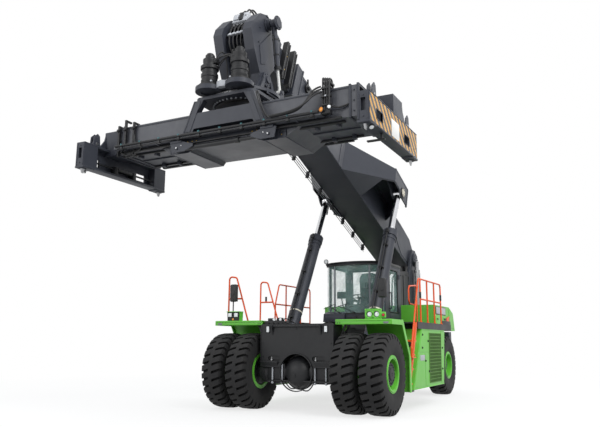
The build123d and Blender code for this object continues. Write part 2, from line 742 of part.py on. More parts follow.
TOWER_PLATE = 60
TOWER_INNER = TOWER_HALF - TOWER_PLATE - 30
PIVOT_SHAFT_R = 110
with BuildPart() as boom_tower:
    block((ahead(-RAIL_END), ahead(-TOWER_FRONT)), (-TOWER_HALF, TOWER_HALF), (RAIL_TOP, RAIL_TOP + 60))
    for _, sign in SIDES:
        plane = side_plane(sign * (TOWER_INNER + TOWER_PLATE / 2 + 15))
        slab(
            plane,
            (
                (ahead(-TOWER_FRONT), RAIL_TOP + 60),
                (ahead(-TOWER_FRONT - 30), 2300),
                (ahead(-PIVOT_BEHIND + 330), PIVOT_Z + 40),
                (ahead(-PIVOT_BEHIND + 140), PIVOT_Z + 290),
                (ahead(-PIVOT_BEHIND - 140), PIVOT_Z + 290),
                (ahead(-PIVOT_BEHIND - 330), PIVOT_Z + 40),
                (ahead(-RAIL_END), 2500),
                (ahead(-RAIL_END), RAIL_TOP + 60),
            ),
            TOWER_PLATE,
        )
        disc(side_plane(sign * (TOWER_HALF)), (PIVOT_X, PIVOT_Z), 210, 60)
    across = (-TOWER_HALF + 20, TOWER_HALF - 20)
    block((ahead(-RAIL_END), ahead(-RAIL_END + 80)), across, (RAIL_TOP + 60, 2500))
    block((ahead(-TOWER_FRONT - 100), ahead(-TOWER_FRONT - 30)), across, (RAIL_TOP + 60, 2250))
    disc(side_plane(0), (PIVOT_X, PIVOT_Z), PIVOT_SHAFT_R, 2 * TOWER_HALF)
keep(boom_tower, "boom_tower")

with BuildPart() as exhaust_stack:
    stack_y = TOWER_HALF + 110
    with Locations((ahead(-6350), stack_y, HOOD_TOP)):
        Cylinder(90, 1150, align=(Align.CENTER, Align.CENTER, Align.MIN))
        Cylinder(60, 1400, align=(Align.CENTER, Align.CENTER, Align.MIN))
    # straps to the tower
    for z in (2700, 3300):
        block((ahead(-6380), ahead(-6320)), (TOWER_HALF - 15, stack_y), (z, z + 50))
keep(exhaust_stack, "exhaust_stack")

# ---------------------------------------------------------------- cab
CAB_FRONT = 2680
CAB_CORNER = 2960
CAB_REAR = 4350
CAB_FLOOR = DECK_Z
CAB_ROOF = 3450
CAB_WALL = 50
SILL = 2130
HEADER = 3370
DOOR_REAR = 4190
DOOR_FRONT = 3380


def cab_plan(z, inset):
    """The cab's plan at a height, bowed at the front, drawn inset from its outside."""
    half = CAB_HALF - inset
    rear = ahead(-CAB_REAR + inset)
    corner = ahead(-CAB_CORNER)
    with BuildSketch(Plane.XY.offset(z)) as plan:
        with BuildLine():
            Polyline((corner, -half), (rear, -half), (rear, half), (corner, half))
            ThreePointArc((corner, half), (ahead(-CAB_FRONT - inset), 0), (corner, -half))
        make_face()
    return plan.sketch


with BuildPart() as cab_shell:
    extrude(cab_plan(CAB_FLOOR, 0), amount=CAB_ROOF - CAB_FLOOR)
    room = CAB_ROOF - CAB_FLOOR - 2 * CAB_WALL
    extrude(cab_plan(CAB_FLOOR + CAB_WALL, CAB_WALL), amount=room, mode=Mode.SUBTRACT)
    # windscreen, rear window, right window, door hole
    past = CAB_HALF + 10
    near = CAB_HALF - CAB_WALL - 10
    for x, y, z in (
        ((-CAB_CORNER - 150, -CAB_FRONT + 50), (-past, past), (SILL, HEADER)),
        ((-CAB_REAR - 10, -CAB_REAR + CAB_WALL + 10), (-620, 620), (SILL + 150, HEADER)),
        ((-4250, -CAB_CORNER - 210), (-past, -near), (SILL, HEADER)),
        ((-DOOR_REAR, -DOOR_FRONT), (near, past), (CAB_FLOOR + 70, HEADER)),
    ):
        block((ahead(x[0]), ahead(x[1])), y, z, mode=Mode.SUBTRACT)
keep(cab_shell, "cab_shell")

GLASS = 8
PANE_JOINT = 480
with BuildPart() as cab_glass:
    # bowed windscreen that wraps round to the sides
    tall = HEADER - SILL
    extrude(cab_plan(SILL, CAB_WALL / 2 - GLASS / 2), amount=tall)
    extrude(cab_plan(SILL, CAB_WALL / 2 + GLASS / 2), amount=tall, mode=Mode.SUBTRACT)
    behind = (ahead(-CAB_REAR - 1), ahead(-CAB_CORNER - 150))
    block(behind, (-CAB_HALF, CAB_HALF), (SILL - 1, HEADER + 1), mode=Mode.SUBTRACT)
    # joints between the screen's three panes
    for _, sign in SIDES:
        joint = (sign * PANE_JOINT - 4, sign * PANE_JOINT + 4)
        block((ahead(-CAB_CORNER - 400), ahead(-CAB_FRONT + 50)), joint, (SILL - 1, HEADER + 1), mode=Mode.SUBTRACT)
    block((ahead(-CAB_REAR + 20), ahead(-CAB_REAR + 20 + GLASS)), (-620, 620), (SILL + 150, HEADER))
    right_pane = (-CAB_HALF + 20, -CAB_HALF + 20 + GLASS)
    block((ahead(-4250), ahead(-CAB_CORNER - 210)), right_pane, (SILL, HEADER))
keep(cab_glass, "cab_glass")

DOOR_GAP = 6
HINGE_R = 16
HINGE_X = ahead(-DOOR_REAR) + DOOR_GAP / 2
HINGE_Y = CAB_HALF + HINGE_R + RUNNING
with BuildPart() as cab_door:
    x = (ahead(-DOOR_REAR) + DOOR_GAP, ahead(-DOOR_FRONT) - DOOR_GAP)
    z = (CAB_FLOOR + 70 + DOOR_GAP, HEADER - DOOR_GAP)
    y = (CAB_HALF - CAB_WALL + 5, CAB_HALF)
    block(x, y, z)
    block((x[0] + 60, x[1] - 60), (y[0] - 1, y[1] + 1), (z[0] + 220, z[1] - 60), mode=Mode.SUBTRACT)
    # hinge barrels, just off the rear door post
    for height in (2250, 3150):
        with Locations((HINGE_X, HINGE_Y, height)):
            Cylinder(HINGE_R, 120)
        block((HINGE_X, x[0] + 60), (CAB_HALF - 1, HINGE_Y), (height - 60, height + 60))
    # grab handle on the front stile
    grip_x = x[1] - 30
    ends = (CAB_HALF - 5, CAB_HALF + 60)
    pipe([(grip_x, ends[0], 2280), (grip_x, ends[1], 2280), (grip_x, ends[1], 2680), (grip_x, ends[0], 2680)], 14, 20)
keep(cab_door, "cab_door")

with BuildPart() as door_glass:
    block((x[0] + 60, x[1] - 60), (CAB_HALF - 28, CAB_HALF - 28 + GLASS), (z[0] + 220, z[1] - 60))
keep(door_glass, "door_glass")

with BuildPart() as driver_seat:
    floor = CAB_FLOOR + CAB_WALL
    block((ahead(-3900), ahead(-3500)), (-180, 180), (floor, floor + 300))
    block((ahead(-3950), ahead(-3430)), (-260, 260), (floor + 300, floor + 430))
    slab(
        side_plane(0),
        (
            (ahead(-3950), floor + 380),
            (ahead(-4120), floor + 1080),
            (ahead(-4010), floor + 1100),
            (ahead(-3830), floor + 430),
        ),
        480,
    )
keep(driver_seat, "driver_seat")

with BuildPart() as control_console:
    block((ahead(-3250), ahead(-3020)), (-330, 330), (CAB_FLOOR + CAB_WALL, 2330))
    column = Plane(origin=(ahead(-3180), 0, 2300), z_dir=(-0.45, 0, 1))
    with BuildSketch(column):
        Circle(35)
    extrude(amount=300)
    with BuildSketch(column.offset(300)):
        Circle(190)
        Circle(165, mode=Mode.SUBTRACT)
        Rectangle(340, 40)
    extrude(amount=25)
keep(control_console, "control_console")

# ---------------------------------------------------------------- boom
PAD_CLEAR = PAD + RUNNING
with BuildPart() as base_boom:
    outline = (
        (-480, -80),
        (-320, BASE_BOTTOM + 40),
        (200, BASE_BOTTOM),
        (BASE_LENGTH, BASE_BOTTOM),
        (BASE_LENGTH, BASE_TOP_FRONT),
        (1200, BASE_TOP_REAR),
        (300, BASE_TOP_REAR - 40),
        (-300, 260),
    )
    slab(boom_plane(0), outline, 2 * BASE_HALF)
    # the tunnel that the inner boom slides in, and the room behind it
    slab(
        boom_plane(0),
        (
            (INNER_TAIL - 500, BASE_BOTTOM + BOOM_WALL),
            (BASE_LENGTH + 1, BASE_BOTTOM + BOOM_WALL),
            (BASE_LENGTH + 1, BASE_TOP_FRONT - BOOM_WALL),
            (1200, BASE_TOP_REAR - BOOM_WALL),
            (INNER_TAIL - 500, BASE_TOP_REAR - BOOM_WALL - 40),
        ),
        2 * (BASE_HALF - BOOM_WALL),
        mode=Mode.SUBTRACT,
    )
    # collar round the mouth
    collar = 60
    slab(
        boom_plane(0),
        (
            (BASE_LENGTH - 260, BASE_BOTTOM - collar / 2),
            (BASE_LENGTH, BASE_BOTTOM - collar / 2),
            (BASE_LENGTH, BASE_TOP_FRONT + collar),
            (BASE_LENGTH - 260, BASE_TOP_FRONT + collar),
        ),
        2 * (BASE_HALF + collar / 2),
    )
    slab(
        boom_plane(0),
        (
            (BASE_LENGTH - 400, BASE_BOTTOM + BOOM_WALL),
            (BASE_LENGTH + 1, BASE_BOTTOM + BOOM_WALL),
            (BASE_LENGTH + 1, BASE_TOP_FRONT - BOOM_WALL),
            (BASE_LENGTH - 400, BASE_TOP_FRONT - BOOM_WALL),
        ),
        2 * (BASE_HALF - BOOM_WALL),
        mode=Mode.SUBTRACT,
    )
    disc(boom_plane(0), (0, 0), PIVOT_SHAFT_R + PIN_FIT, 3 * BASE_HALF, mode=Mode.SUBTRACT)
keep(base_boom, "base_boom")

with BuildPart() as boom_wear_pads:
    floor = BASE_BOTTOM + BOOM_WALL
    roof = BASE_TOP_FRONT - BOOM_WALL
    cheek = BASE_HALF - BOOM_WALL
    start, end = BASE_LENGTH - 240, BASE_LENGTH - 20
    # floor and roof pads at the mouth, and a cheek pad on each side
    for y in (-220, 220):
        slab(boom_plane(y), ((start, floor), (end, floor), (end, floor + PAD), (start, floor + PAD)), 160)
        top = INNER_TOP + RUNNING
        slab(boom_plane(y), ((start, top), (end, top), (end, roof), (start, roof)), 160)
    width = cheek - INNER_HALF - RUNNING
    for _, sign in SIDES:
        slab(
            boom_plane(sign * (cheek - width / 2)),
            ((start, -200), (end, -200), (end, 280), (start, 280)),
            width,
        )
keep(boom_wear_pads, "boom_wear_pads")

WING_FRONT = 5500
WING_REAR = 2300
WING_OUT_FRONT = 3900
WING_OUT_REAR = 2900
WING_TOP = LIFT_EYE_N + 340
WING_NOSE = 485  # height of the wing's top at its front end
WING_SHEET = 30
CAVITY_FRONT = 4250
CHEEK_IN = LIFT_Y - EYE_HALF - CHEEK_GAP
CHEEK_OUT = LIFT_Y + EYE_HALF + CHEEK_GAP + 10
WING_HALF = CHEEK_OUT + CHEEK
with BuildPart() as boom_wings:
    rise = radians(BOOM_ANGLE)
    level_x, level_z = boom_point(0, WING_TOP)
    wing_top = Plane(origin=(level_x, 0, level_z), x_dir=(cos(rise), 0, sin(rise)), z_dir=(-sin(rise), 0, cos(rise)))
    for _, sign in SIDES:
        outer = (
            (WING_FRONT, BASE_HALF),
            (WING_OUT_FRONT, WING_HALF),
            (WING_OUT_REAR, WING_HALF),
            (WING_REAR, BASE_HALF),
        )
        with BuildSketch(wing_top):
            with BuildLine():
                Polyline(*[(s, sign * y) for s, y in outer], close=True)
            make_face()
        extrude(amount=-(WING_TOP - BASE_BOTTOM))
        # the top slopes down to the front
        slope = ((WING_OUT_FRONT, WING_TOP), (WING_FRONT, WING_NOSE), (WING_FRONT, WING_TOP + 10))
        slab(boom_plane(sign * WING_HALF / 2), slope, 2 * WING_HALF, mode=Mode.SUBTRACT)
        # the room that the rod's eye swings in, open below and to the rear
        inner = (
            (CAVITY_FRONT, BASE_HALF - 1),
            (CAVITY_FRONT, 970),
            (WING_OUT_FRONT - 20, CHEEK_OUT),
            (WING_OUT_REAR - 200, CHEEK_OUT),
            (WING_REAR - 300, BASE_HALF - 1),
        )
        with BuildSketch(wing_top.offset(-WING_SHEET)):
            with BuildLine():
                Polyline(*[(s, sign * y) for s, y in inner], close=True)
            make_face()
        extrude(amount=-(WING_TOP - BASE_BOTTOM), mode=Mode.SUBTRACT)
        # the foot slopes up from the boom's bottom edge to the outer cheek
        cross = Plane(
            origin=(PIVOT_X, 0, PIVOT_Z), x_dir=(0, sign, 0), z_dir=(sign * cos(rise), 0, sign * sin(rise))
        )
        with BuildSketch(cross):
            with BuildLine():
                Polyline(
                    (BASE_HALF, BASE_BOTTOM - 1),
                    (WING_HALF + 1, LIFT_EYE_N - 20),
                    (WING_HALF + 1, BASE_BOTTOM - 1),
                    close=True,
                )
            make_face()
        extrude(amount=sign * 7000, mode=Mode.SUBTRACT)
        # cheeks on each side of the rod's eye, and its pin
        cheek_foot = (
            (WING_OUT_FRONT, LIFT_EYE_N + 60),
            (3560, LIFT_EYE_N - 30),
            (3400, LIFT_EYE_N - 150),
            (3300, LIFT_EYE_N - 180),
            (WING_OUT_REAR, LIFT_EYE_N - 180),
        )
        top = WING_TOP - WING_SHEET / 2
        for y in (CHEEK_IN - CHEEK / 2, CHEEK_OUT + CHEEK / 2):
            plate = (*cheek_foot, (WING_OUT_REAR, top), (WING_OUT_FRONT - 20, top))
            slab(boom_plane(sign * y), plate, CHEEK)
        disc(boom_plane(sign * (WING_HALF + 10)), (LIFT_EYE_S, LIFT_EYE_N), 120, 20)
keep(boom_wings, "boom_wings")

with BuildPart() as inner_boom:
    floor = BASE_BOTTOM + BOOM_WALL + PAD_CLEAR
    outline = ((INNER_TAIL, floor), (INNER_END, floor), (INNER_END, INNER_TOP), (INNER_TAIL, INNER_TOP))
    slab(boom_plane(0), outline, 2 * INNER_HALF)
    hollow = (
        (INNER_TAIL - 1, floor + BOOM_WALL),
        (INNER_END - BOOM_WALL, floor + BOOM_WALL),
        (INNER_END - BOOM_WALL, INNER_TOP - BOOM_WALL),
        (INNER_TAIL - 1, INNER_TOP - BOOM_WALL),
    )
    slab(boom_plane(0), hollow, 2 * (INNER_HALF - BOOM_WALL), mode=Mode.SUBTRACT)
keep(inner_boom, "inner_boom")

# head: two box arms that curve down to the rotator's pin
rise = radians(BOOM_ANGLE)
tip_dx = LOAD_X - PIVOT_X
tip_dz = TIP_Z - PIVOT_Z
TIP_S = tip_dx * cos(rise) + tip_dz * sin(rise)
TIP_N = tip_dz * cos(rise) - tip_dx * sin(rise)
HEAD_INNER = 230
HEAD_OUTER = 430
TILT_Y = 580
TILT_TOP_S = 9600
TILT_TOP_N = 300
with BuildPart() as boom_head:
    block_outline = (
        (INNER_END, BASE_BOTTOM + BOOM_WALL + PAD_CLEAR),
        (INNER_END, INNER_TOP),
        (INNER_END + 330, INNER_TOP),
        (INNER_END + 620, INNER_TOP - 170),
        (INNER_END + 300, BASE_BOTTOM + BOOM_WALL + PAD_CLEAR),
    )
    slab(boom_plane(0), block_outline, 2 * HEAD_INNER)
    for _, sign in SIDES:
        plane = boom_plane(sign * (HEAD_INNER + HEAD_OUTER) / 2)
        slab(
            plane,
            (
                (INNER_END, BASE_BOTTOM + BOOM_WALL + PAD_CLEAR),
                (INNER_END, INNER_TOP),
                (INNER_END + 360, INNER_TOP + 90),
                (INNER_END + 700, INNER_TOP + 110),
                (INNER_END + 900, INNER_TOP - 40),
                (INNER_END + 1040, INNER_TOP - 380),
                (INNER_END + 1040, INNER_TOP - 560),
                (TIP_S + 508, TIP_N + 367),
                (TIP_S + 170, TIP_N + 60),
                (TIP_S + 100, TIP_N - 140),
                (TIP_S - 60, TIP_N - 160),
                (TIP_S - 165, TIP_N - 40),
                (TIP_S - 150, TIP_N + 200),
                (INNER_END + 120, -520),
            ),
            HEAD_OUTER - HEAD_INNER,
        )
    disc(boom_plane(0), (TIP_S, TIP_N), TIP_PIN_R + PIN_FIT, 3 * HEAD_OUTER, mode=Mode.SUBTRACT)
    # cross shaft that the tilt cylinders hang on
    disc(boom_plane(0), (TILT_TOP_S, TILT_TOP_N), 60, 2 * (TILT_Y + 70))
    for _, sign in SIDES:
        disc(boom_plane(sign * (HEAD_OUTER + 45)), (TILT_TOP_S, TILT_TOP_N), 110, 90)
        disc(boom_plane(sign * (TILT_Y + 80)), (TILT_TOP_S, TILT_TOP_N), 130, 20)
keep(boom_head, "boom_head")

# ---------------------------------------------------------------- lift cylinders
EYE_X, EYE_Z = boom_point(LIFT_EYE_S, LIFT_EYE_N)
LIFT_LENGTH = hypot(EYE_X - LIFT_FOOT_X, EYE_Z - LIFT_FOOT_Z)
LIFT_TURN = degrees(atan2(EYE_Z - LIFT_FOOT_Z, EYE_X - LIFT_FOOT_X))


def strut_plane(y, foot, top):
    """A sketch plane at y along a strut: its origin is the foot, and right runs to the top."""
    run = Vector(top[0] - foot[0], 0, top[1] - foot[1]).normalized()
    return Plane(origin=(foot[0], y, foot[1]), x_dir=run, z_dir=(0, -1, 0))


def rod_or_barrel(plane, points):
    """A solid turned about a strut's own line from (along, radius) pairs."""
    line = Axis(plane.origin, plane.x_dir)
    turned(plane, line, [(points[0][0], 0), *points, (points[-1][0], 0)])


with BuildPart() as lift_barrels:
    for _, sign in SIDES:
        plane = strut_plane(sign * LIFT_Y, (LIFT_FOOT_X, LIFT_FOOT_Z), (EYE_X, EYE_Z))
        rod_or_barrel(
            plane,
            (
                (60, EYE_HALF - 2),
                (165, EYE_HALF - 2),
                (235, LIFT_BARREL_R),
                (LIFT_BARREL_LENGTH - 200, LIFT_BARREL_R),
                (LIFT_BARREL_LENGTH - 190, LIFT_BARREL_R + 25),
                (LIFT_BARREL_LENGTH - 20, LIFT_BARREL_R + 25),
                (LIFT_BARREL_LENGTH, LIFT_BARREL_R + 5),
            ),
        )
        disc(plane, (0, 0), LIFT_EYE_R, 2 * EYE_HALF)
        disc(plane, (0, 0), LIFT_SHAFT_R + PIN_FIT, 3 * LIFT_BARREL_R, mode=Mode.SUBTRACT)
        # bore that the rod slides in
        with BuildSketch(Plane(origin=plane.from_local_coords((200, 0, 0)), z_dir=plane.x_dir)):
            Circle(LIFT_ROD_R + RUNNING)
        extrude(amount=LIFT_BARREL_LENGTH, mode=Mode.SUBTRACT)
keep(lift_barrels, "lift_barrels")

ROD_START = 1205
with BuildPart() as lift_rods:
    for _, sign in SIDES:
        plane = strut_plane(sign * LIFT_Y, (LIFT_FOOT_X, LIFT_FOOT_Z), (EYE_X, EYE_Z))
        rod_or_barrel(plane, ((ROD_START, LIFT_ROD_R), (LIFT_LENGTH - 60, LIFT_ROD_R)))
        disc(plane, (LIFT_LENGTH, 0), ROD_EYE_R, 2 * EYE_HALF - 10)
        # the pin stays with the eye
        disc(plane, (LIFT_LENGTH, 0), LIFT_SHAFT_R, 2 * EYE_HALF)
keep(lift_rods, "lift_rods")

# ---------------------------------------------------------------- rotator
YOKE_PLATE_Z = 5960
YOKE_PLATE = 60
EAR_IN = HEAD_OUTER + 8
EAR = 50
RING_R = 620
TILT_FOOT_AHEAD = -370
TILT_FOOT_Z = 6150
MOTOR_AHEAD = 680
MOTOR_Y = 330
TILT_TOP = boom_point(TILT_TOP_S, TILT_TOP_N)
TILT_FOOT = (LOAD_X + TILT_FOOT_AHEAD, TILT_FOOT_Z)
TILT_EYE_R = 62
TILT_CAP_R = 38
with BuildPart() as rotator_yoke:
    with BuildSketch(Plane.XY.offset(YOKE_PLATE_Z)):
        with Locations((LOAD_X, 0)):
            Circle(RING_R + 90)
        with BuildLine():
            Polyline(
                (LOAD_X + 250, TILT_Y + 75),
                (LOAD_X + TILT_FOOT_AHEAD - 60, TILT_Y + 75),
                (LOAD_X + TILT_FOOT_AHEAD - 60, -TILT_Y - 75),
                (LOAD_X + 250, -TILT_Y - 75),
                close=True,
            )
        make_face()
        with Locations((LOAD_X + MOTOR_AHEAD - 40, -MOTOR_Y), (LOAD_X + MOTOR_AHEAD - 40, MOTOR_Y)):
            Circle(250)
    extrude(amount=YOKE_PLATE)
    top = YOKE_PLATE_Z + YOKE_PLATE
    for _, sign in SIDES:
        slab(
            side_plane(sign * (EAR_IN + EAR / 2)),
            (
                (LOAD_X - 380, top),
                (LOAD_X - 130, TIP_Z + 60),
                (LOAD_X - 60, TIP_Z + 150),
                (LOAD_X + 60, TIP_Z + 150),
                (LOAD_X + 140, TIP_Z + 60),
                (LOAD_X + 380, top),
            ),
            EAR,
        )
        disc(side_plane(sign * (EAR_IN + EAR + 12)), (LOAD_X, TIP_Z), 130, 24)
        # lug of the tilt cylinder
        for step in (-1, 1):
            slab(
                side_plane(sign * TILT_Y + step * 58),
                (
                    (TILT_FOOT[0] - 60, top),
                    (TILT_FOOT[0] - 50, TILT_FOOT_Z + 40),
                    (TILT_FOOT[0] + 50, TILT_FOOT_Z + 40),
                    (TILT_FOOT[0] + 110, top),
                ),
                24,
            )
    disc(side_plane(0), (LOAD_X, TIP_Z), TIP_PIN_R, 2 * (EAR_IN + EAR))
    for _, sign in SIDES:
        for step in (-1, 1):
            disc(side_plane(sign * TILT_Y + step * 75), TILT_FOOT, TILT_CAP_R, 12)
keep(rotator_yoke, "rotator_yoke")

MOTOR_STEPS = ((190, 0, 90), (140, 90, 380), (165, 380, 430), (120, 430, 600), (80, 600, 720))
with BuildPart() as swing_motors:
    for _, sign in SIDES:
        with Locations((LOAD_X + MOTOR_AHEAD, sign * MOTOR_Y, top)):
            for radius, low, high in MOTOR_STEPS:
                with Locations((0, 0, low)):
                    Cylinder(radius, high - low, align=(Align.CENTER, Align.CENTER, Align.MIN))
keep(swing_motors, "swing_motors")

RING_TOP = YOKE_PLATE_Z - RUNNING
RING_BOTTOM = 5880
with BuildPart() as slewing_ring:
    with Locations((LOAD_X, 0, RING_BOTTOM)):
        Cylinder(RING_R, RING_TOP - RING_BOTTOM, align=(Align.CENTER, Align.CENTER, Align.MIN))
        Cylinder(RING_R - 150, 3 * (RING_TOP - RING_BOTTOM), mode=Mode.SUBTRACT)
keep(slewing_ring, "slewing_ring")

FRAME_TOP_Z = RING_BOTTOM
FRAME_REACH = 700  # front and rear faces of the slew frame from its centre
LEG_TOP = 620
LEG_FOOT = 860
LEG = 180
RAIL_TOP_Z = 5190  # the rails that the slew frame shifts along
FOOT_Z = RAIL_TOP_Z + RUNNING
WEB_TOP_Z = 5585
with BuildPart() as slew_frame:
    reach = (LOAD_X - FRAME_REACH, LOAD_X + FRAME_REACH)
    block(reach, (-LEG_TOP - 40, LEG_TOP + 40), (FRAME_TOP_Z - 60, FRAME_TOP_Z))
    fillet(slew_frame.edges().filter_by(Axis.Z), radius=160)
    for level in (-1, 1):
        # a trapezium of two legs, a web and a foot rail, front and rear
        with BuildSketch(front_plane(LOAD_X + level * (FRAME_REACH - 60))):
            with BuildLine():
                Polyline(
                    (-LEG_TOP, FRAME_TOP_Z - 60),
                    (LEG_TOP, FRAME_TOP_Z - 60),
                    (LEG_FOOT, FOOT_Z),
                    (-LEG_FOOT, FOOT_Z),
                    close=True,
                )
            make_face()
            with BuildLine():
                Polyline(
                    (-LEG_TOP + LEG, FRAME_TOP_Z - 60),
                    (LEG_TOP - LEG, FRAME_TOP_Z - 60),
                    (LEG_FOOT - LEG - 100, WEB_TOP_Z),
                    (-LEG_FOOT + LEG + 100, WEB_TOP_Z),
                    close=True,
                )
            make_face(mode=Mode.SUBTRACT)
            with Locations((0, FOOT_Z + 45)):
                SlotOverall(2 * (LEG_FOOT - LEG - 20), 110, mode=Mode.SUBTRACT)
        extrude(amount=60, both=True)
keep(slew_frame, "slew_frame")

# ---------------------------------------------------------------- spreader
FRAME_Y = 2600  # half the length of the spreader's main frame
TUNNEL_X = 285  # each tunnel's middle, from the load centre
TUNNEL_HALF = 270
TUNNEL_WALL = 20
BEAM_BOTTOM_Z = 5080
KEEL_Z = 4905  # bottom of the cross members under the middle
KEEL_MIDDLE_Z = 4975
RAIL = 70
RAIL_OUT = 770
with BuildPart() as spreader_frame:
    for level in (-1, 1):
        middle = LOAD_X + level * TUNNEL_X
        block((middle - TUNNEL_HALF, middle + TUNNEL_HALF), (-FRAME_Y, FRAME_Y), (BEAM_BOTTOM_Z, BEAM_TOP_Z))
        hollow = TUNNEL_HALF - TUNNEL_WALL
        block(
            (middle - hollow, middle + hollow),
            (-FRAME_Y - 1, FRAME_Y + 1),
            (BEAM_BOTTOM_Z + TUNNEL_WALL, BEAM_TOP_Z - TUNNEL_WALL),
            mode=Mode.SUBTRACT,
        )
        # rail outside each tunnel, on brackets
        face = level * (TUNNEL_X + TUNNEL_HALF - 5)
        rail = sorted((LOAD_X + face, LOAD_X + level * RAIL_OUT))
        block(rail, (-FRAME_Y + 100, 2000), (RAIL_TOP_Z - RAIL, RAIL_TOP_Z))
        for y in (-2300, -1500, -700, 700, 1500):
            slab(
                side_plane(y),
                (
                    (LOAD_X + face, RAIL_TOP_Z - RAIL + 1),
                    (LOAD_X + level * (RAIL_OUT - 20), RAIL_TOP_Z - RAIL + 1),
                    (LOAD_X + face, BEAM_BOTTOM_Z + 1),
                ),
                30,
            )
    # webs that join the tunnels
    gap = TUNNEL_X - TUNNEL_HALF
    for y in (-FRAME_Y + 100, -900, 0, 900, FRAME_Y - 100):
        block((LOAD_X - gap, LOAD_X + gap), (y - 60, y + 60), (BEAM_BOTTOM_Z, BEAM_TOP_Z))
    # keel under the middle, deeper at its two cross members
    keel = (
        (-1500, BEAM_BOTTOM_Z + 1),
        (-1230, KEEL_Z),
        (-800, KEEL_Z),
        (-740, KEEL_MIDDLE_Z),
        (740, KEEL_MIDDLE_Z),
        (800, KEEL_Z),
        (1230, KEEL_Z),
        (1500, BEAM_BOTTOM_Z + 1),
    )
    slab(front_plane(LOAD_X), keel, 2 * (TUNNEL_X + TUNNEL_HALF))
keep(spreader_frame, "spreader_frame")

ARM_HALF = TUNNEL_HALF - TUNNEL_WALL - 8
ARM_END = 60  # past the end beam's middle
ARM_TAIL = -2100
END_HALF = CONTAINER_WIDTH / 2
END_BEAM = 200
END_Y = TWISTLOCK_PITCH_Y / 2
CORNER_X = TWISTLOCK_PITCH_X / 2
END_TOP_Z = SPREADER_BOTTOM_Z + 470
CORNER_BOX = 360  # length of the box at each end of an end beam
END_PLATE = 30
LUG_X = 850
LUG_Z = END_TOP_Z + 70
LUG_R = 30
LUG_PLATE = 30
for side, sign in SIDES:
    arm_x = LOAD_X - sign * TUNNEL_X
    with BuildPart() as arm:
        # end beam across the arm: a channel, open to the inside, with a box at each end
        y = sorted((sign * (END_Y - END_BEAM / 2), sign * (END_Y + END_BEAM / 2)))
        block((LOAD_X - END_HALF, LOAD_X + END_HALF), y, (SPREADER_BOTTOM_Z, END_TOP_Z))
        y = sorted((sign * (END_Y - END_BEAM / 2 - 1), sign * (END_Y + END_BEAM / 2 - END_PLATE)))
        pocket = END_HALF - CORNER_BOX
        block(
            (LOAD_X - pocket, LOAD_X + pocket),
            y,
            (SPREADER_BOTTOM_Z + END_PLATE, END_TOP_Z - END_PLATE),
            mode=Mode.SUBTRACT,
        )
        # two openings in its outer plate, and a slot in each end
        for x in (-600, 780):
            y = sorted((sign * END_Y, sign * (END_Y + END_BEAM / 2 + 1)))
            block((LOAD_X + x - 140, LOAD_X + x + 140), y, (4840, 5000), mode=Mode.SUBTRACT)
        for corner in (-1, 1):
            x = sorted((LOAD_X + corner * (END_HALF - 60), LOAD_X + corner * (END_HALF + 1)))
            block(x, (sign * END_Y - 40, sign * END_Y + 40), (4890, 5100), mode=Mode.SUBTRACT)
        # telescopic beam, over the end beam
        low, high = BEAM_BOTTOM_Z + TUNNEL_WALL + RUNNING, BEAM_TOP_Z - TUNNEL_WALL - 8
        y = sorted((sign * ARM_TAIL, sign * (END_Y + ARM_END)))
        block((arm_x - ARM_HALF, arm_x + ARM_HALF), y, (low, high))
        block(
            (arm_x - ARM_HALF + 20, arm_x + ARM_HALF - 20),
            sorted((sign * (ARM_TAIL - 1), sign * (END_Y + ARM_END - 20))),
            (low + 20, high - 20),
            mode=Mode.SUBTRACT,
        )
        # gusset from the beam's outer side down to the end beam
        edge = LOAD_X - sign * (TUNNEL_X + ARM_HALF - 5)
        slab(
            side_plane(sign * (END_Y + ARM_END - 15)),
            (
                (edge, high - 40),
                (edge, END_TOP_Z - 5),
                (LOAD_X - sign * 730, END_TOP_Z - 5),
                (edge - sign * 30, high - 170),
            ),
            END_PLATE,
        )
        for corner in (-1, 1):
            with Locations((LOAD_X + corner * CORNER_X, sign * END_Y, SPREADER_BOTTOM_Z)):
                Cylinder(34, 300, mode=Mode.SUBTRACT)
        # lifting lugs on the end beam
        for corner in (-1, 1):
            lug_x = LOAD_X + corner * LUG_X
            foot = END_TOP_Z - 5
            slab(
                side_plane(sign * END_Y),
                (
                    (lug_x - 110, foot),
                    (lug_x - 60, LUG_Z + 45),
                    (lug_x + 60, LUG_Z + 45),
                    (lug_x + 110, foot),
                ),
                LUG_PLATE,
            )
            disc(side_plane(sign * END_Y), (lug_x, LUG_Z), LUG_R, 3 * LUG_PLATE, mode=Mode.SUBTRACT)
    keep(arm, f"{side}_arm")

    with BuildPart() as twistlocks:
        for corner in (-1, 1):
            with Locations((LOAD_X + corner * CORNER_X, sign * END_Y, SPREADER_BOTTOM_Z)):
                Cylinder(33.9, 140, align=(Align.CENTER, Align.CENTER, Align.MIN))
                with Locations((0, 0, -35)):
                    Cylinder(28, 35, align=(Align.CENTER, Align.CENTER, Align.MIN))
            head = (LOAD_X + corner * CORNER_X, sign * END_Y, SPREADER_BOTTOM_Z - 35)
            with BuildSketch(Plane(origin=head, z_dir=(0, 0, -1))):
                SlotOverall(104, 56)
            extrude(amount=SPREADER_BOTTOM_Z - 35 - TWISTLOCK_TIP_Z, taper=14)
    keep(twistlocks, f"{side}_twistlocks")

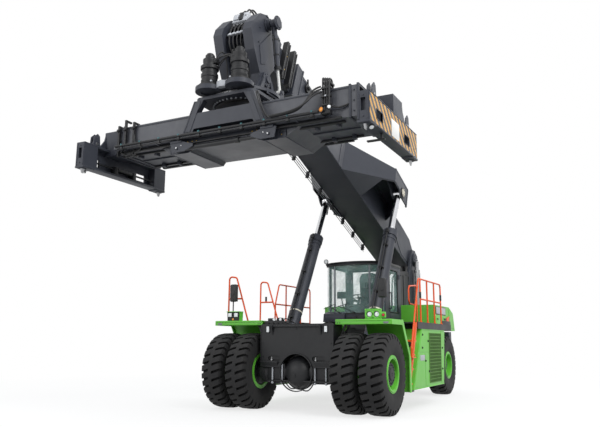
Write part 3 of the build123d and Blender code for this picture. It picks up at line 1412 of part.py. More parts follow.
# ---------------------------------------------------------------- tilt cylinders
TILT_LENGTH = hypot(TILT_TOP[0] - TILT_FOOT[0], TILT_TOP[1] - TILT_FOOT[1])
with BuildPart() as tilt_barrels:
    for _, sign in SIDES:
        plane = strut_plane(sign * TILT_Y, TILT_TOP, TILT_FOOT)
        rod_or_barrel(plane, ((50, 52), (850, 52), (855, 62), (900, 62)))
        disc(plane, (0, 0), 90, 80)
        disc(plane, (0, 0), 60 + PIN_FIT, 200, mode=Mode.SUBTRACT)
        with BuildSketch(Plane(origin=plane.from_local_coords((250, 0, 0)), z_dir=plane.x_dir)):
            Circle(30 + RUNNING)
        extrude(amount=TILT_LENGTH, mode=Mode.SUBTRACT)
keep(tilt_barrels, "tilt_barrels")

with BuildPart() as tilt_rods:
    for _, sign in SIDES:
        plane = strut_plane(sign * TILT_Y, TILT_TOP, TILT_FOOT)
        rod_or_barrel(plane, ((640, 30), (TILT_LENGTH - 40, 30)))
        disc(plane, (TILT_LENGTH, 0), TILT_EYE_R, 76)
keep(tilt_rods, "tilt_rods")

for piece in pieces:
    export_step(piece, f"parts/{piece.label}.step")
print(len(pieces), "pieces")
print("lift", round(LIFT_LENGTH), round(LIFT_TURN, 2), "tip", round(TIP_S), round(TIP_N), "tilt", round(TILT_LENGTH), TILT_TOP)
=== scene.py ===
"""Looks of a reach stacker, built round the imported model, in metres and in the model's own frame.

+X is ahead, +Y is the machine's left and +Z is up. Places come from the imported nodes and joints.
"""

from __future__ import annotations

import json
import logging
import math
from dataclasses import dataclass
from enum import Enum
from typing import Sequence

import bmesh
import bpy
from bmesh.types import BMFace, BMVert
from bpy.types import Material, Node, NodeSocket, NodeTree, Object, Scene
from mathutils import Matrix, Vector

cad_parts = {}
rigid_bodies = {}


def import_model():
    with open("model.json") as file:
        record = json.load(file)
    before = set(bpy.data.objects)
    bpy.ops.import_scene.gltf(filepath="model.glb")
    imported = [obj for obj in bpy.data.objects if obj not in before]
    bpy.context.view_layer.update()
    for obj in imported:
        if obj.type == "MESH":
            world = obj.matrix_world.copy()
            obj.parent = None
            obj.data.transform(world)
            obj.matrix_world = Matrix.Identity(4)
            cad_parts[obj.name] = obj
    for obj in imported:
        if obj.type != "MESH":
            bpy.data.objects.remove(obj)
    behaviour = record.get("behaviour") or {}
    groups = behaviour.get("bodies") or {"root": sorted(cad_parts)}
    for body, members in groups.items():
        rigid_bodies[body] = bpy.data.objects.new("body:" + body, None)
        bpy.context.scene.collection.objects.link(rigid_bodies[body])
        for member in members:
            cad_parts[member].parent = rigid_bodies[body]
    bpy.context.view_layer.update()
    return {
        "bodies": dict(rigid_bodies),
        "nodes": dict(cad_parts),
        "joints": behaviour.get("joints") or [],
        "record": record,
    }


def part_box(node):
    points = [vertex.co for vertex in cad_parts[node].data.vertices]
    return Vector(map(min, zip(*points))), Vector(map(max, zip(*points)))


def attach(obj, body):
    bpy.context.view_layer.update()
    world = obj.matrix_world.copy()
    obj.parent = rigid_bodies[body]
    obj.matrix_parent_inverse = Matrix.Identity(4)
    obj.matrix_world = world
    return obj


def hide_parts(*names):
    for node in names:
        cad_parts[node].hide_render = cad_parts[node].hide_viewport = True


logging.basicConfig(level=logging.INFO, format="%(message)s")
LOG = logging.getLogger("reach_stacker")

Point = Sequence[float]
SIDES = (("left", 1), ("right", -1))
AHEAD, LEFT, UP, DOWN = (1, 0, 0), (0, 1, 0), (0, 0, 1), (0, 0, -1)
SMOOTH_ANGLE = math.radians(32)
RANGE = ("From Min", "From Max", "To Min", "To Max")


# ---------------------------------------------------------------- layout
@dataclass
class Layout:
    """Where the machine's main lines are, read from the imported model."""

    front_x: float
    rear_x: float
    load_x: float
    wheel_z: float
    deck_z: float
    pivot: Vector
    along: Vector
    lift_foot: Vector
    lift_run: Vector
    tilt_top: Vector
    tilt_run: Vector

    @classmethod
    def read(cls, frame: dict) -> "Layout":
        """Read the layout.


        Returns:
            The layout.
        """
        joints = {joint["name"]: joint for joint in frame["joints"]}
        front, rear = middle("left_front_tyres"), middle("left_rear_tyre")
        return cls(
            front_x=front.x, rear_x=rear.x, load_x=middle("spreader_frame").x, wheel_z=front.z,
            deck_z=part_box("left_fender")[1].z, pivot=Vector(joints["boom_lift"]["pos_m"]),
            along=-Vector(joints["boom_extend"]["axis"]).normalized(),
            lift_foot=Vector(joints["lift_barrel_swing"]["pos_m"]),
            lift_run=Vector(joints["lift_rod_slide"]["axis"]).normalized(),
            tilt_top=Vector(joints["tilt_barrel_swing"]["pos_m"]),
            tilt_run=Vector(joints["tilt_rod_slide"]["axis"]).normalized(),
        )

    def ahead(self, distance: float) -> float:
        """The X place that is a distance ahead of the front axle."""
        return self.front_x + distance

    def axle(self, ahead: float = 0.0, up: float = 0.0) -> Matrix:
        """Local to the model's frame, from a place ahead of the front axle and above the ground."""
        return Matrix.Translation((self.front_x + ahead, 0, up))

    def load(self, ahead: float = 0.0, up: float = 0.0) -> Matrix:
        """Local to the model's frame, from a place ahead of the load's centre and above the ground."""
        return Matrix.Translation((self.load_x + ahead, 0, up))

    def boom(self) -> Matrix:
        """Local (along the boom, left, above the boom line) to the model's frame, from the pivot."""
        return frame_at(self.pivot, self.along)

    def lift(self, y: float) -> Matrix:
        """Local (along the lift cylinder, left, square to it) to the model's frame, from its foot."""
        return frame_at(Vector((self.lift_foot.x, y, self.lift_foot.z)), self.lift_run)

    def tilt(self, y: float) -> Matrix:
        """Local (along the tilt cylinder, left, square to it) to the model's frame, from its top."""
        return frame_at(Vector((self.tilt_top.x, y, self.tilt_top.z)), self.tilt_run)


def middle(node: str) -> Vector:
    """The middle of a node's box."""
    low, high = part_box(node)
    return (Vector(low) + Vector(high)) / 2


def about(place: float, half: float) -> tuple[float, float]:
    """Low and high places half a width to each side of a place."""
    return place - half, place + half


def frame_at(origin: Vector, along: Vector) -> Matrix:
    """A placement with X along a line in the XZ plane and Y to the left.

    Args:
        origin: The placement's origin.
        along: A unit vector with no Y part.

    Returns:
        The placement.
    """
    up = along.cross(Vector(LEFT))
    turn = Matrix((along, Vector(LEFT), up)).transposed()
    return Matrix.Translation(origin) @ turn.to_4x4()


# ---------------------------------------------------------------- finishes
def linear(hex_colour: str, alpha: float = 1.0) -> tuple[float, float, float, float]:
    """An sRGB hex colour as linear RGBA."""
    parts = [int(hex_colour[i : i + 2], 16) / 255 for i in (1, 3, 5)]
    lin = [p / 12.92 if p <= 0.04045 else ((p + 0.055) / 1.055) ** 2.4 for p in parts]
    return (*lin, alpha)


def wire(tree: NodeTree, node: Node, inputs: dict) -> None:
    """Give a node's inputs their values, or links where the value is an output socket."""
    for key, value in inputs.items():
        if isinstance(value, NodeSocket):
            tree.links.new(value, node.inputs[key])
        else:
            node.inputs[key].default_value = value


def add_node(tree: NodeTree, kind: str, inputs: dict | None = None, **settings: object) -> Node:
    """Add a node with its settings and links.

    Args:
        tree: The node tree.
        kind: The node's type name.
        inputs: Input name or number to a value, or to an output socket to link.
        settings: The node's own properties.

    Returns:
        The node.
    """
    node = tree.nodes.new(kind)
    for name, value in settings.items():
        setattr(node, name, value)
    wire(tree, node, inputs or {})
    return node


def new_material(name: str) -> tuple[Material, NodeTree, Node]:
    """A material with an empty Principled shader.

    Args:
        name: The material's name.

    Returns:
        The material, its tree and the shader node.
    """
    material = bpy.data.materials.new(name)
    material.use_nodes = True
    tree = material.node_tree
    tree.nodes.clear()
    shader = add_node(tree, "ShaderNodeBsdfPrincipled")
    add_node(tree, "ShaderNodeOutputMaterial", {"Surface": shader.outputs[0]})
    return material, tree, shader


def patches(tree: NodeTree, size_mm: float, detail: float, *ends: float) -> NodeSocket:
    """Patches of noise about a size across, on Object coordinates.

    Args:
        tree: The node tree.
        size_mm: The size of a patch.
        detail: Octaves of detail.
        ends: From low, from high, to low, to high, where its range is mapped.

    Returns:
        The patches' value.
    """
    place = add_node(tree, "ShaderNodeTexCoord").outputs["Object"]
    inputs = {"Vector": place, "Scale": 1000 / size_mm, "Detail": detail}
    value = add_node(tree, "ShaderNodeTexNoise", inputs).outputs["Fac"]
    if not ends:
        return value
    return add_node(tree, "ShaderNodeMapRange", {"Value": value, **dict(zip(RANGE, ends))}).outputs[0]


def scaled(colour: Sequence[float], share: float, more: float = 0.0) -> tuple[float, ...]:
    """A linear colour made brighter or darker, and opaque."""
    return (*(min(1.0, part * share + more) for part in colour[:3]), 1.0)


@dataclass(frozen=True)
class Enamel:
    """Sprayed enamel on steel plate: an even colour with a faint orange peel, dulled by dust."""

    name: str
    colour: str
    roughness: float = 0.42
    dust: str = "#8d8a84"
    dust_share: float = 0.1
    sheen: float = 0.5

    def build(self) -> Material:
        """Make the material."""
        material, tree, shader = new_material(self.name)
        base = linear(self.colour)
        cloud = patches(tree, 900, 4, 0.3, 0.7, 0.0, 1.0)
        body = add_node(tree, "ShaderNodeMix", {0: cloud, 6: base, 7: scaled(base, 1.07)}, data_type="RGBA")
        streak = patches(tree, 140, 5, 0.42, 0.75, 0.0, self.dust_share)
        dusty = {0: streak, 6: body.outputs[2], 7: linear(self.dust)}
        # orange peel is 2 to 4 mm in life, and drawn at 30 mm so that it shows
        peel = {"Height": patches(tree, 30, 2), "Strength": 0.02, "Distance": 0.004}
        wire(tree, shader, {
            "Base Color": add_node(tree, "ShaderNodeMix", dusty, data_type="RGBA").outputs[2],
            "Roughness": patches(tree, 500, 3, 0.3, 0.7, self.roughness - 0.04, self.roughness + 0.06),
            "Specular IOR Level": self.sheen,
            "Normal": add_node(tree, "ShaderNodeBump", peel).outputs[0],
        })
        return material


@dataclass(frozen=True)
class TyreRubber:
    """Moulded tyre rubber: dark grey, matt, with dry dust in it."""

    name: str = "moulded_tyre_rubber"
    colour: str = "#29292a"
    dust: str = "#3d3a38"

    def build(self) -> Material:
        """Make the material."""
        material, tree, shader = new_material(self.name)
        dusty = {0: patches(tree, 160, 5, 0.4, 0.72, 0.0, 0.35), 6: linear(self.colour), 7: linear(self.dust)}
        # grit is 1 mm in life, and drawn at 9 mm
        grit = {"Height": patches(tree, 9, 3), "Strength": 0.25, "Distance": 0.003}
        wire(tree, shader, {
            "Base Color": add_node(tree, "ShaderNodeMix", dusty, data_type="RGBA").outputs[2],
            "Roughness": 0.82,
            "Specular IOR Level": 0.35,
            "Normal": add_node(tree, "ShaderNodeBump", grit).outputs[0],
        })
        return material


@dataclass(frozen=True)
class BareMetal:
    """Ground, plated or brushed metal: a clean reflection with fine wear."""

    name: str
    colour: str
    roughness: float

    def build(self) -> Material:
        """Make the material."""
        material, tree, shader = new_material(self.name)
        base = linear(self.colour)
        worn = {0: patches(tree, 60, 5, 0.3, 0.75, 0.0, 0.35), 6: base, 7: scaled(base, 0.72)}
        wire(tree, shader, {
            "Metallic": 1.0,
            "Base Color": add_node(tree, "ShaderNodeMix", worn, data_type="RGBA").outputs[2],
            "Roughness": patches(tree, 40, 4, 0.3, 0.7, self.roughness, self.roughness + 0.12),
        })
        return material


@dataclass(frozen=True)
class Plastic:
    """Moulded plastic or painted board: even colour, a fine leather-like grain."""

    name: str
    colour: str
    roughness: float = 0.5
    grain_mm: float = 8.0

    def build(self) -> Material:
        """Make the material."""
        material, tree, shader = new_material(self.name)
        base = linear(self.colour)
        pale = {0: patches(tree, 120, 4, 0.35, 0.75, 0.0, 0.6), 6: base, 7: scaled(base, 1.25, 0.004)}
        # grain is under 1 mm in life, and drawn coarser so that it shows
        grain = {"Height": patches(tree, self.grain_mm, 2), "Strength": 0.12, "Distance": 0.002}
        wire(tree, shader, {
            "Base Color": add_node(tree, "ShaderNodeMix", pale, data_type="RGBA").outputs[2],
            "Roughness": self.roughness,
            "Normal": add_node(tree, "ShaderNodeBump", grain).outputs[0],
        })
        return material


@dataclass(frozen=True)
class TintedGlass:
    """Float glass with a tint: mostly clear, with a sharp reflection."""

    name: str
    colour: str
    clear: float = 0.72

    def build(self) -> Material:
        """Make the material."""
        material, tree, shader = new_material(self.name)
        veil = 1.0 - self.clear
        smear = patches(tree, 260, 4, 0.35, 0.7, veil - 0.05, veil + 0.09)
        wire(
            tree, shader, {"Base Color": linear(self.colour), "Roughness": 0.04, "IOR": 1.52, "Alpha": smear}
        )
        return material


@dataclass(frozen=True)
class Lens:
    """Clear or coloured lamp lens over a bright reflector: pale and glossy, with a moulded rib."""

    name: str
    colour: str
    glow: float = 0.0

    def build(self) -> Material:
        """Make the material."""
        material, tree, shader = new_material(self.name)
        base = linear(self.colour)
        place = add_node(tree, "ShaderNodeTexCoord").outputs["Object"]
        wave = {"Vector": place, "Scale": 18.0, "Distortion": 0.0}
        ribs = add_node(tree, "ShaderNodeTexWave", wave, bands_direction="Z").outputs["Fac"]
        ribbed = add_node(tree, "ShaderNodeMix", {0: ribs, 6: scaled(base, 0.78), 7: base}, data_type="RGBA")
        wire(tree, shader, {
            "Base Color": ribbed.outputs[2],
            "Roughness": 0.12,
            "Emission Color": base,
            "Emission Strength": self.glow,
        })
        return material


@dataclass(frozen=True)
class HazardStripes:
    """Slanting stripes of film on enamel: matt yellow over dark paint, chipped at the edges."""

    name: str = "hazard_stripe_film"
    yellow: str = "#dba44a"
    dark: str = "#43464f"
    pitch: float = 0.19

    def build(self) -> Material:
        """Make the material."""
        material, tree, shader = new_material(self.name)
        place = add_node(tree, "ShaderNodeTexCoord").outputs["Object"]
        split = add_node(tree, "ShaderNodeSeparateXYZ", {0: place}).outputs
        value = split["X"]
        # across the slant, with ragged edges, counted in pitches, and on for the first part of each
        for operation, other in (
            ("SUBTRACT", split["Z"]), ("ADD", patches(tree, 18, 4, 0.0, 1.0, -0.006, 0.006)),
            ("DIVIDE", self.pitch), ("FRACT", 0.5), ("LESS_THAN", 0.47),
        ):
            value = add_node(tree, "ShaderNodeMath", {0: value, 1: other}, operation=operation).outputs[0]
        chipped = {0: value, 1: patches(tree, 70, 6, 0.58, 0.7, 1.0, 0.35)}
        share = add_node(tree, "ShaderNodeMath", chipped, operation="MULTIPLY").outputs[0]
        film = {0: share, 6: linear(self.dark), 7: linear(self.yellow)}
        edge = {"Height": value, "Strength": 0.1, "Distance": 0.001}
        wire(tree, shader, {
            "Base Color": add_node(tree, "ShaderNodeMix", film, data_type="RGBA").outputs[2],
            "Roughness": 0.5,
            "Normal": add_node(tree, "ShaderNodeBump", edge).outputs[0],
        })
        return material


class Finish(Enum):
    """Every finish on the machine."""

    ANTHRACITE = Enamel("anthracite_enamel", "#33363f", 0.5, "#5c5f68", 0.05, 0.42)
    # paler grey for the spreader frame: partly weathering, partly a painted sheen of reflected light
    WORN_SHEEN = Enamel("weathered_and_sheen_enamel", "#4a4c53", 0.46, "#77797c", 0.16, 0.5)
    BLACK = Enamel("black_enamel", "#17181b", 0.48, "#3c3b3a", 0.08, 0.4)
    GREEN = Enamel("green_enamel", "#69c53f", 0.38, "#a8b58f", 0.04)
    ORANGE = Enamel("orange_enamel", "#f0560f", 0.42, "#c77f55", 0.06)
    CREAM = Enamel("cream_enamel", "#d8d2c0", 0.45, "#a39c8a", 0.1)
    # white for the blank plates; on the plated tilt rods it is a painted reflection of the bright
    # surroundings
    WHITE = Enamel("white_enamel_and_rod_reflection", "#e9e9e6", 0.45, "#b5b2aa", 0.1)
    GREY = Enamel("grey_enamel", "#7d8087", 0.45, "#6a6864", 0.12)
    TYRE = TyreRubber()
    # near-black rubber on the grooves' floors and walls: painted shade inside the sunk grooves
    GROOVE_SHADE = TyreRubber("groove_painted_shade_rubber", "#0c0c0d", "#19181a")
    CHROME = BareMetal("plated_rod", "#d9dadd", 0.1)
    STEEL = BareMetal("brushed_steel", "#a9aaac", 0.34)
    HOSE = Plastic("hose_rubber", "#18181a", 0.55, 10.0)
    MOULDED = Plastic("moulded_plastic", "#1b1c1e", 0.55)
    PAD = Plastic("nylon_pad", "#cfcab6", 0.5)
    SEAT = Plastic("seat_cloth", "#26282c", 0.85, 14.0)
    CAB_GLASS = TintedGlass("cab_float_glass", "#b4ded8", 0.86)
    MIRROR = BareMetal("mirror_silvering", "#c9ced2", 0.04)
    LENS = Lens("clear_lens", "#eef2f4", 0.25)
    AMBER = Lens("amber_lens", "#f39a2b", 0.15)
    RED = Lens("red_lens", "#c8202a", 0.15)
    OLIVE = Enamel("mesh_enamel", "#588a36", 0.55, "#4c5a30", 0.25)
    PALE = Enamel("pale_enamel", "#b9bcc2", 0.4, "#8a8a86", 0.15)
    TEAL = Enamel("clamp_enamel", "#2f6a70", 0.45, "#27484c", 0.15)
    BRASS = BareMetal("brass_fitting", "#a98a4a", 0.3)
    SCREEN = Plastic("dark_screen", "#0f1518", 0.15, 20.0)
    STRIPES = HazardStripes()


_built: dict[Finish, Material] = {}


def finish_material(finish: Finish) -> Material:
    """The material of a finish, made once."""
    if finish not in _built:
        _built[finish] = finish.value.build()
    return _built[finish]


# ---------------------------------------------------------------- pieces
class Piece:
    """One piece of the visual model, added to shape by shape, then finished as an object."""

    def __init__(self, name: str, place: Matrix | None = None) -> None:
        """Start a piece.

        Args:
            name: The piece's name.
            place: What turns local coordinates into the model's frame.
        """
        self.name = name
        self.place = place or Matrix.Identity(4)
        self.bm = bmesh.new()
        self.finishes: list[Finish] = []
        self.index = 0

    def use(self, finish: Finish) -> "Piece":
        """Give the shapes that follow a finish."""
        if finish not in self.finishes:
            self.finishes.append(finish)
        self.index = self.finishes.index(finish)
        return self

    def _paint(self, verts: Sequence[BMVert]) -> None:
        """Give the faces of new vertices the current finish."""
        for face in {face for vert in verts for face in vert.link_faces}:
            face.material_index = self.index

    def box(self, x: Point, y: Point, z: Point, bevel: float = 0.0) -> None:
        """Add a box between (low, high) pairs, with its edges bevelled.

        Args:
            x: Low and high X.
            y: Low and high Y, in either order.
            z: Low and high Z.
            bevel: The bevel's width.
        """
        spans = [sorted(pair) for pair in (x, y, z)]
        centre = Vector([(low + high) / 2 for low, high in spans])
        size = Vector([high - low for low, high in spans])
        fit = Matrix.Translation(centre) @ Matrix.Diagonal((*size, 1))
        before = set(self.bm.faces)
        verts = bmesh.ops.create_cube(self.bm, size=1, matrix=fit)["verts"]
        if bevel:
            edges = list({edge for vert in verts for edge in vert.link_edges})
            bmesh.ops.bevel(
                self.bm, geom=edges, offset=bevel, affect="EDGES", segments=3, profile=0.5, material=-1
            )
        for face in set(self.bm.faces) - before:
            face.material_index = self.index

    def rod(
        self, start: Point, end: Point, radius: float, end_radius: float | None = None, sides: int = 18
    ) -> None:
        """Add a cylinder or cone between two points.

        Args:
            start: The middle of its first end.
            end: The middle of its second end.
            radius: The radius at the first end.
            end_radius: The radius at the second end, if it isn't the same.
            sides: How many sides it has.
        """
        start, end = Vector(start), Vector(end)
        run = end - start
        turn = run.to_track_quat("Z", "Y").to_matrix().to_4x4()
        verts = bmesh.ops.create_cone(
            self.bm,
            cap_ends=True,
            segments=sides,
            radius1=radius,
            radius2=radius if end_radius is None else end_radius,
            depth=run.length,
            matrix=Matrix.Translation((start + end) / 2) @ turn,
        )["verts"]
        self._paint(verts)

    def plate(self, outline: Sequence[Point], axis: str, low: float, high: float) -> None:
        """Add a prism: an outline drawn square to an axis and drawn out along it.

        Args:
            outline: Corners as pairs, in the order of the two other axes.
            axis: "x", "y" or "z".
            low: Where the prism starts.
            high: Where it ends.
        """
        low, high = sorted((low, high))
        number = "xyz".index(axis)

        def lift(pair: Point) -> Vector:
            """A corner in space."""
            corner = list(pair)
            corner.insert(number, low)
            return Vector(corner)

        verts = [self.bm.verts.new(lift(pair)) for pair in outline]
        face = self.bm.faces.new(verts)
        out = bmesh.ops.extrude_face_region(self.bm, geom=[face])["geom"]
        moved = [item for item in out if isinstance(item, BMVert)]
        push = Vector((0, 0, 0))
        push[number] = high - low
        bmesh.ops.translate(self.bm, verts=moved, vec=push)
        self._paint(verts + moved)

    def lathe(
        self, profile: Sequence[Point], centre: Point, axis: Point, steps: int = 32, closed: bool = True
    ) -> list[BMVert]:
        """Add a turned shape.

        Args:
            profile: (along the axis, radius) pairs.
            centre: Where the axis starts.
            axis: The axis.
            steps: How many steps round.
            closed: Whether the profile's ends meet.

        Returns:
            The new vertices.
        """
        axis = Vector(axis).normalized()
        side = axis.orthogonal().normalized()
        centre = Vector(centre)
        before = set(self.bm.verts)
        verts = [self.bm.verts.new(centre + axis * along + side * radius) for along, radius in profile]
        pairs = list(zip(verts, verts[1:] + verts[:1])) if closed else list(zip(verts, verts[1:]))
        edges = [self.bm.edges.new(pair) for pair in pairs]
        bmesh.ops.spin(
            self.bm, geom=verts + edges, cent=centre, axis=axis, angle=math.tau, steps=steps, use_merge=True
        )
        new = [vert for vert in self.bm.verts if vert not in before]
        bmesh.ops.remove_doubles(self.bm, verts=new, dist=1e-5)
        new = [vert for vert in self.bm.verts if vert not in before]
        self._paint(new)
        return new

    def ring(self, centre: Point, axis: Point, inner: float, outer: float, low: float, high: float) -> None:
        """Add a flat ring.

        Args:
            centre: Where the axis starts.
            axis: The axis.
            inner: The inner radius.
            outer: The outer radius.
            low: Where the ring starts along the axis.
            high: Where it ends.
        """
        self.lathe(((low, inner), (low, outer), (high, outer), (high, inner)), centre, axis, 40)

    def knob(self, profile: Sequence[Point], centre: Point, axis: Point, steps: int = 28) -> None:
        """Add a turned solid.

        Args:
            profile: (along the axis, radius) pairs from one end to the other.
            centre: Where the axis starts.
            axis: The axis.
            steps: How many steps round.
        """
        ends = ((profile[0][0], 0.0), (profile[-1][0], 0.0))
        self.lathe((ends[0], *profile, ends[1]), centre, axis, steps, closed=False)

    def lamp(self, at: Point, axis: Point, radius: float, lens: Finish) -> None:
        """Add a round lamp: a cup, a bezel and a crowned lens.

        Args:
            at: The middle of its back.
            axis: The way it shines.
            radius: The bezel's radius.
            lens: The lens's finish.
        """
        self.use(Finish.MOULDED).knob(
            ((0, 0.6 * radius), (0.5 * radius, radius), (0.8 * radius, radius)), at, axis, 24
        )
        self.ring(at, axis, 0.84 * radius, radius, 0.78 * radius, 0.95 * radius)
        self.use(lens).knob(
            ((0.7 * radius, 0.84 * radius), (0.86 * radius, 0.82 * radius), (1.02 * radius, 0.4 * radius)),
            at, axis, 24,
        )

    def mirrored(self) -> "Piece":
        """Copy everything so far to the other side of the middle plane."""
        geom = [*self.bm.verts, *self.bm.edges, *self.bm.faces]
        bmesh.ops.mirror(self.bm, geom=geom, matrix=Matrix.Identity(4), merge_dist=0, axis="Y")
        return self

    def bolt(self, at: Point, axis: Point, radius: float, height: float) -> None:
        """Add a hexagon head that stands on a point."""
        at = Vector(at)
        self.rod(at, at + Vector(axis).normalized() * height, radius, sides=6)

    def bolts(
        self, centre: Point, axis: Point, circle: float, count: int, radius: float, height: float
    ) -> None:
        """Add a ring of hexagon heads.

        Args:
            centre: The ring's centre.
            axis: The way the heads stand.
            circle: The ring's radius.
            count: How many heads.
            radius: A head's radius.
            height: A head's height.
        """
        axis = Vector(axis).normalized()
        side = axis.orthogonal().normalized()
        for number in range(count):
            turn = Matrix.Rotation(math.tau * number / count, 3, axis)
            self.bolt(Vector(centre) + turn @ side * circle, axis, radius, height)

    def done(self, body: str, slot: str, bevel: float = 0.0, replaces: Sequence[str] = ()) -> Object:
        """Finish the piece as an object.

        Args:
            body: The body it rides on.
            slot: The record's material slot it belongs to; not used.
            bevel: The width of a bevel on its sharp edges.
            replaces: CAD nodes that it stands for.

        Returns:
            The object.
        """
        self.bm.transform(self.place)
        bmesh.ops.recalc_face_normals(self.bm, faces=self.bm.faces)
        for face in self.bm.faces:
            face.smooth = True
        for edge in self.bm.edges:
            edge.smooth = len(edge.link_faces) == 2 and edge.calc_face_angle(math.pi) < SMOOTH_ANGLE
        mesh = bpy.data.meshes.new(self.name)
        self.bm.to_mesh(mesh)
        self.bm.free()
        thing = bpy.data.objects.new(self.name, mesh)
        bpy.context.scene.collection.objects.link(thing)
        for finish in self.finishes:
            mesh.materials.append(finish_material(finish))
        if bevel:
            edge = thing.modifiers.new("edge", "BEVEL")
            edge.width, edge.segments, edge.limit_method, edge.angle_limit = bevel, 2, "ANGLE", SMOOTH_ANGLE
        enlist(thing, body, replaces)
        return thing


def enlist(thing: Object, body: str, replaces: Sequence[str] = ()) -> None:
    """Give a finished object its body, and report it.

    Args:
        thing: The object.
        body: The body it rides on.
        replaces: CAD nodes that it stands for.
    """
    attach(thing, body)
    if replaces:
        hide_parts(*replaces)
    LOG.info("piece %s rides on %s", thing.name, body)


def hoses(
    name: str,
    runs: Sequence[Sequence[Point]],
    radius: float,
    body: str,
    place: Matrix | None = None,
    finish: Finish = Finish.HOSE,
    stiff: bool = False,
) -> None:
    """Make hoses or bent pipes that are fixed at both ends, as one object.

    Args:
        name: The object's name.
        runs: The points of each hose.
        radius: The hoses' radius.
        body: The body they ride on.
        place: What turns local coordinates into the model's frame.
        finish: Their finish.
        stiff: Whether they are straight runs with mitred corners, as welded pipes are.
    """
    curve = bpy.data.curves.new(name, "CURVE")
    curve.dimensions, curve.bevel_depth, curve.bevel_resolution, curve.resolution_u = "3D", radius, 2, 5
    curve.use_fill_caps = True
    place = place or Matrix.Identity(4)
    for run in runs:
        points = [Vector(point) for point in run]
        spline = curve.splines.new("POLY" if stiff else "NURBS")
        spline.points.add(len(points) - 1)
        for knot, point in zip(spline.points, points):
            knot.co = (*(place @ point), 1)
        if not stiff:
            spline.order_u, spline.use_endpoint_u = 3, True
    curve.materials.append(finish_material(finish))
    thing = bpy.data.objects.new(name, curve)
    bpy.context.scene.collection.objects.link(thing)
    enlist(thing, body)


def dress(nodes: dict, finishes: dict[Finish, str]) -> None:
    """Give CAD nodes their finishes.

    Args:
        nodes: The CAD nodes by name.
        finishes: Each finish with its nodes' names, where a star stands for each side.
    """
    for finish, names in finishes.items():
        for name in names.split():
            sides = [f"{side}_{name[1:]}" for side, _ in SIDES] if name[0] == "*" else [name]
            for node in sides:
                for material_slot in nodes[node].material_slots:
                    material_slot.material = finish_material(finish)


# ---------------------------------------------------------------- tyres and wheels
@dataclass
class Tyre:
    """A rock-pattern tyre: side grooves that reach in from each shoulder, and a closed middle."""

    half: float = 0.25
    outer_r: float = 0.807
    bead_r: float = 0.33
    groove: float = 0.06
    pitches: int = 30
    steps: int = 6  # of which two are sunk, in each pitch
    lean: float = 0.42  # radians that the grooves turn for each metre across

    def profile(self) -> list[tuple[float, float]]:
        """(across, radius) rings from one bead, over the tread, to the other."""
        return [
            (-0.196, self.bead_r), (-0.206, 0.372), (-0.218, 0.395), (-0.244, 0.47), (-0.2505, 0.55),
            (-0.246, 0.63), (-0.241, 0.685), (-0.234, 0.745), (-0.208, 0.79), (-0.14, 0.803), (-0.04, 0.806),
            (0, self.outer_r),
        ]

    def add(self, piece: Piece, x: float, y: float, z: float) -> None:
        """Add the tyre to a piece.

        Args:
            piece: The piece.
            x: The axle's X.
            y: The tyre's middle.
            z: The axle's Z.
        """
        half = self.profile()
        rings = half + [(-across, radius) for across, radius in reversed(half[:-1])]
        steps = self.steps * self.pitches
        bm = piece.bm
        centre = Vector((x, y, z))
        grid: list[list[BMVert]] = []
        before = set(bm.verts)
        verts = piece.lathe(rings, centre, LEFT, steps, closed=False)
        # sort the vertices into rings by their place across the tyre
        for across, radius in rings:
            ring = [
                vert
                for vert in verts
                if abs(vert.co.y - y - across) < 1e-4
                and abs(math.hypot(vert.co.x - x, vert.co.z - z) - radius) < 1e-3
            ]
            ring.sort(key=lambda vert: math.atan2(vert.co.z - z, vert.co.x - x))
            grid.append(ring)
        # slant the grooves: each ring is turned a little further than the last
        for (across, _), ring in zip(rings, grid):
            turn = Matrix.Rotation(-self.lean * across, 3, "Y")
            bmesh.ops.rotate(bm, verts=ring, cent=centre, matrix=turn)
        floor: list[BMFace] = []
        last = len(rings) - 1
        for side, offset in ((range(6, 10), 0), (range(last - 10, last - 6), 3)):
            for column in side:
                for number in range(steps):
                    if (number + offset) % self.steps < 2:
                        corners = {
                            grid[column][number], grid[column][(number + 1) % steps],
                            grid[column + 1][number], grid[column + 1][(number + 1) % steps],
                        }
                        for face in grid[column][number].link_faces:
                            if set(face.verts) == corners:
                                floor.append(face)
        out = bmesh.ops.extrude_face_region(bm, geom=floor)["geom"]
        sunk = [item for item in out if isinstance(item, BMVert)]
        bmesh.ops.delete(bm, geom=[face for face in floor if face.is_valid], context="FACES_ONLY")
        for vert in sunk:
            arm = Vector((vert.co.x - x, 0, vert.co.z - z))
            vert.co -= arm.normalized() * self.groove
        piece._paint([vert for vert in bm.verts if vert not in before])
        # the sunk faces take the near-black groove rubber: painted shade inside the grooves
        piece.use(Finish.GROOVE_SHADE)._paint(sunk)
        piece.use(Finish.TYRE)


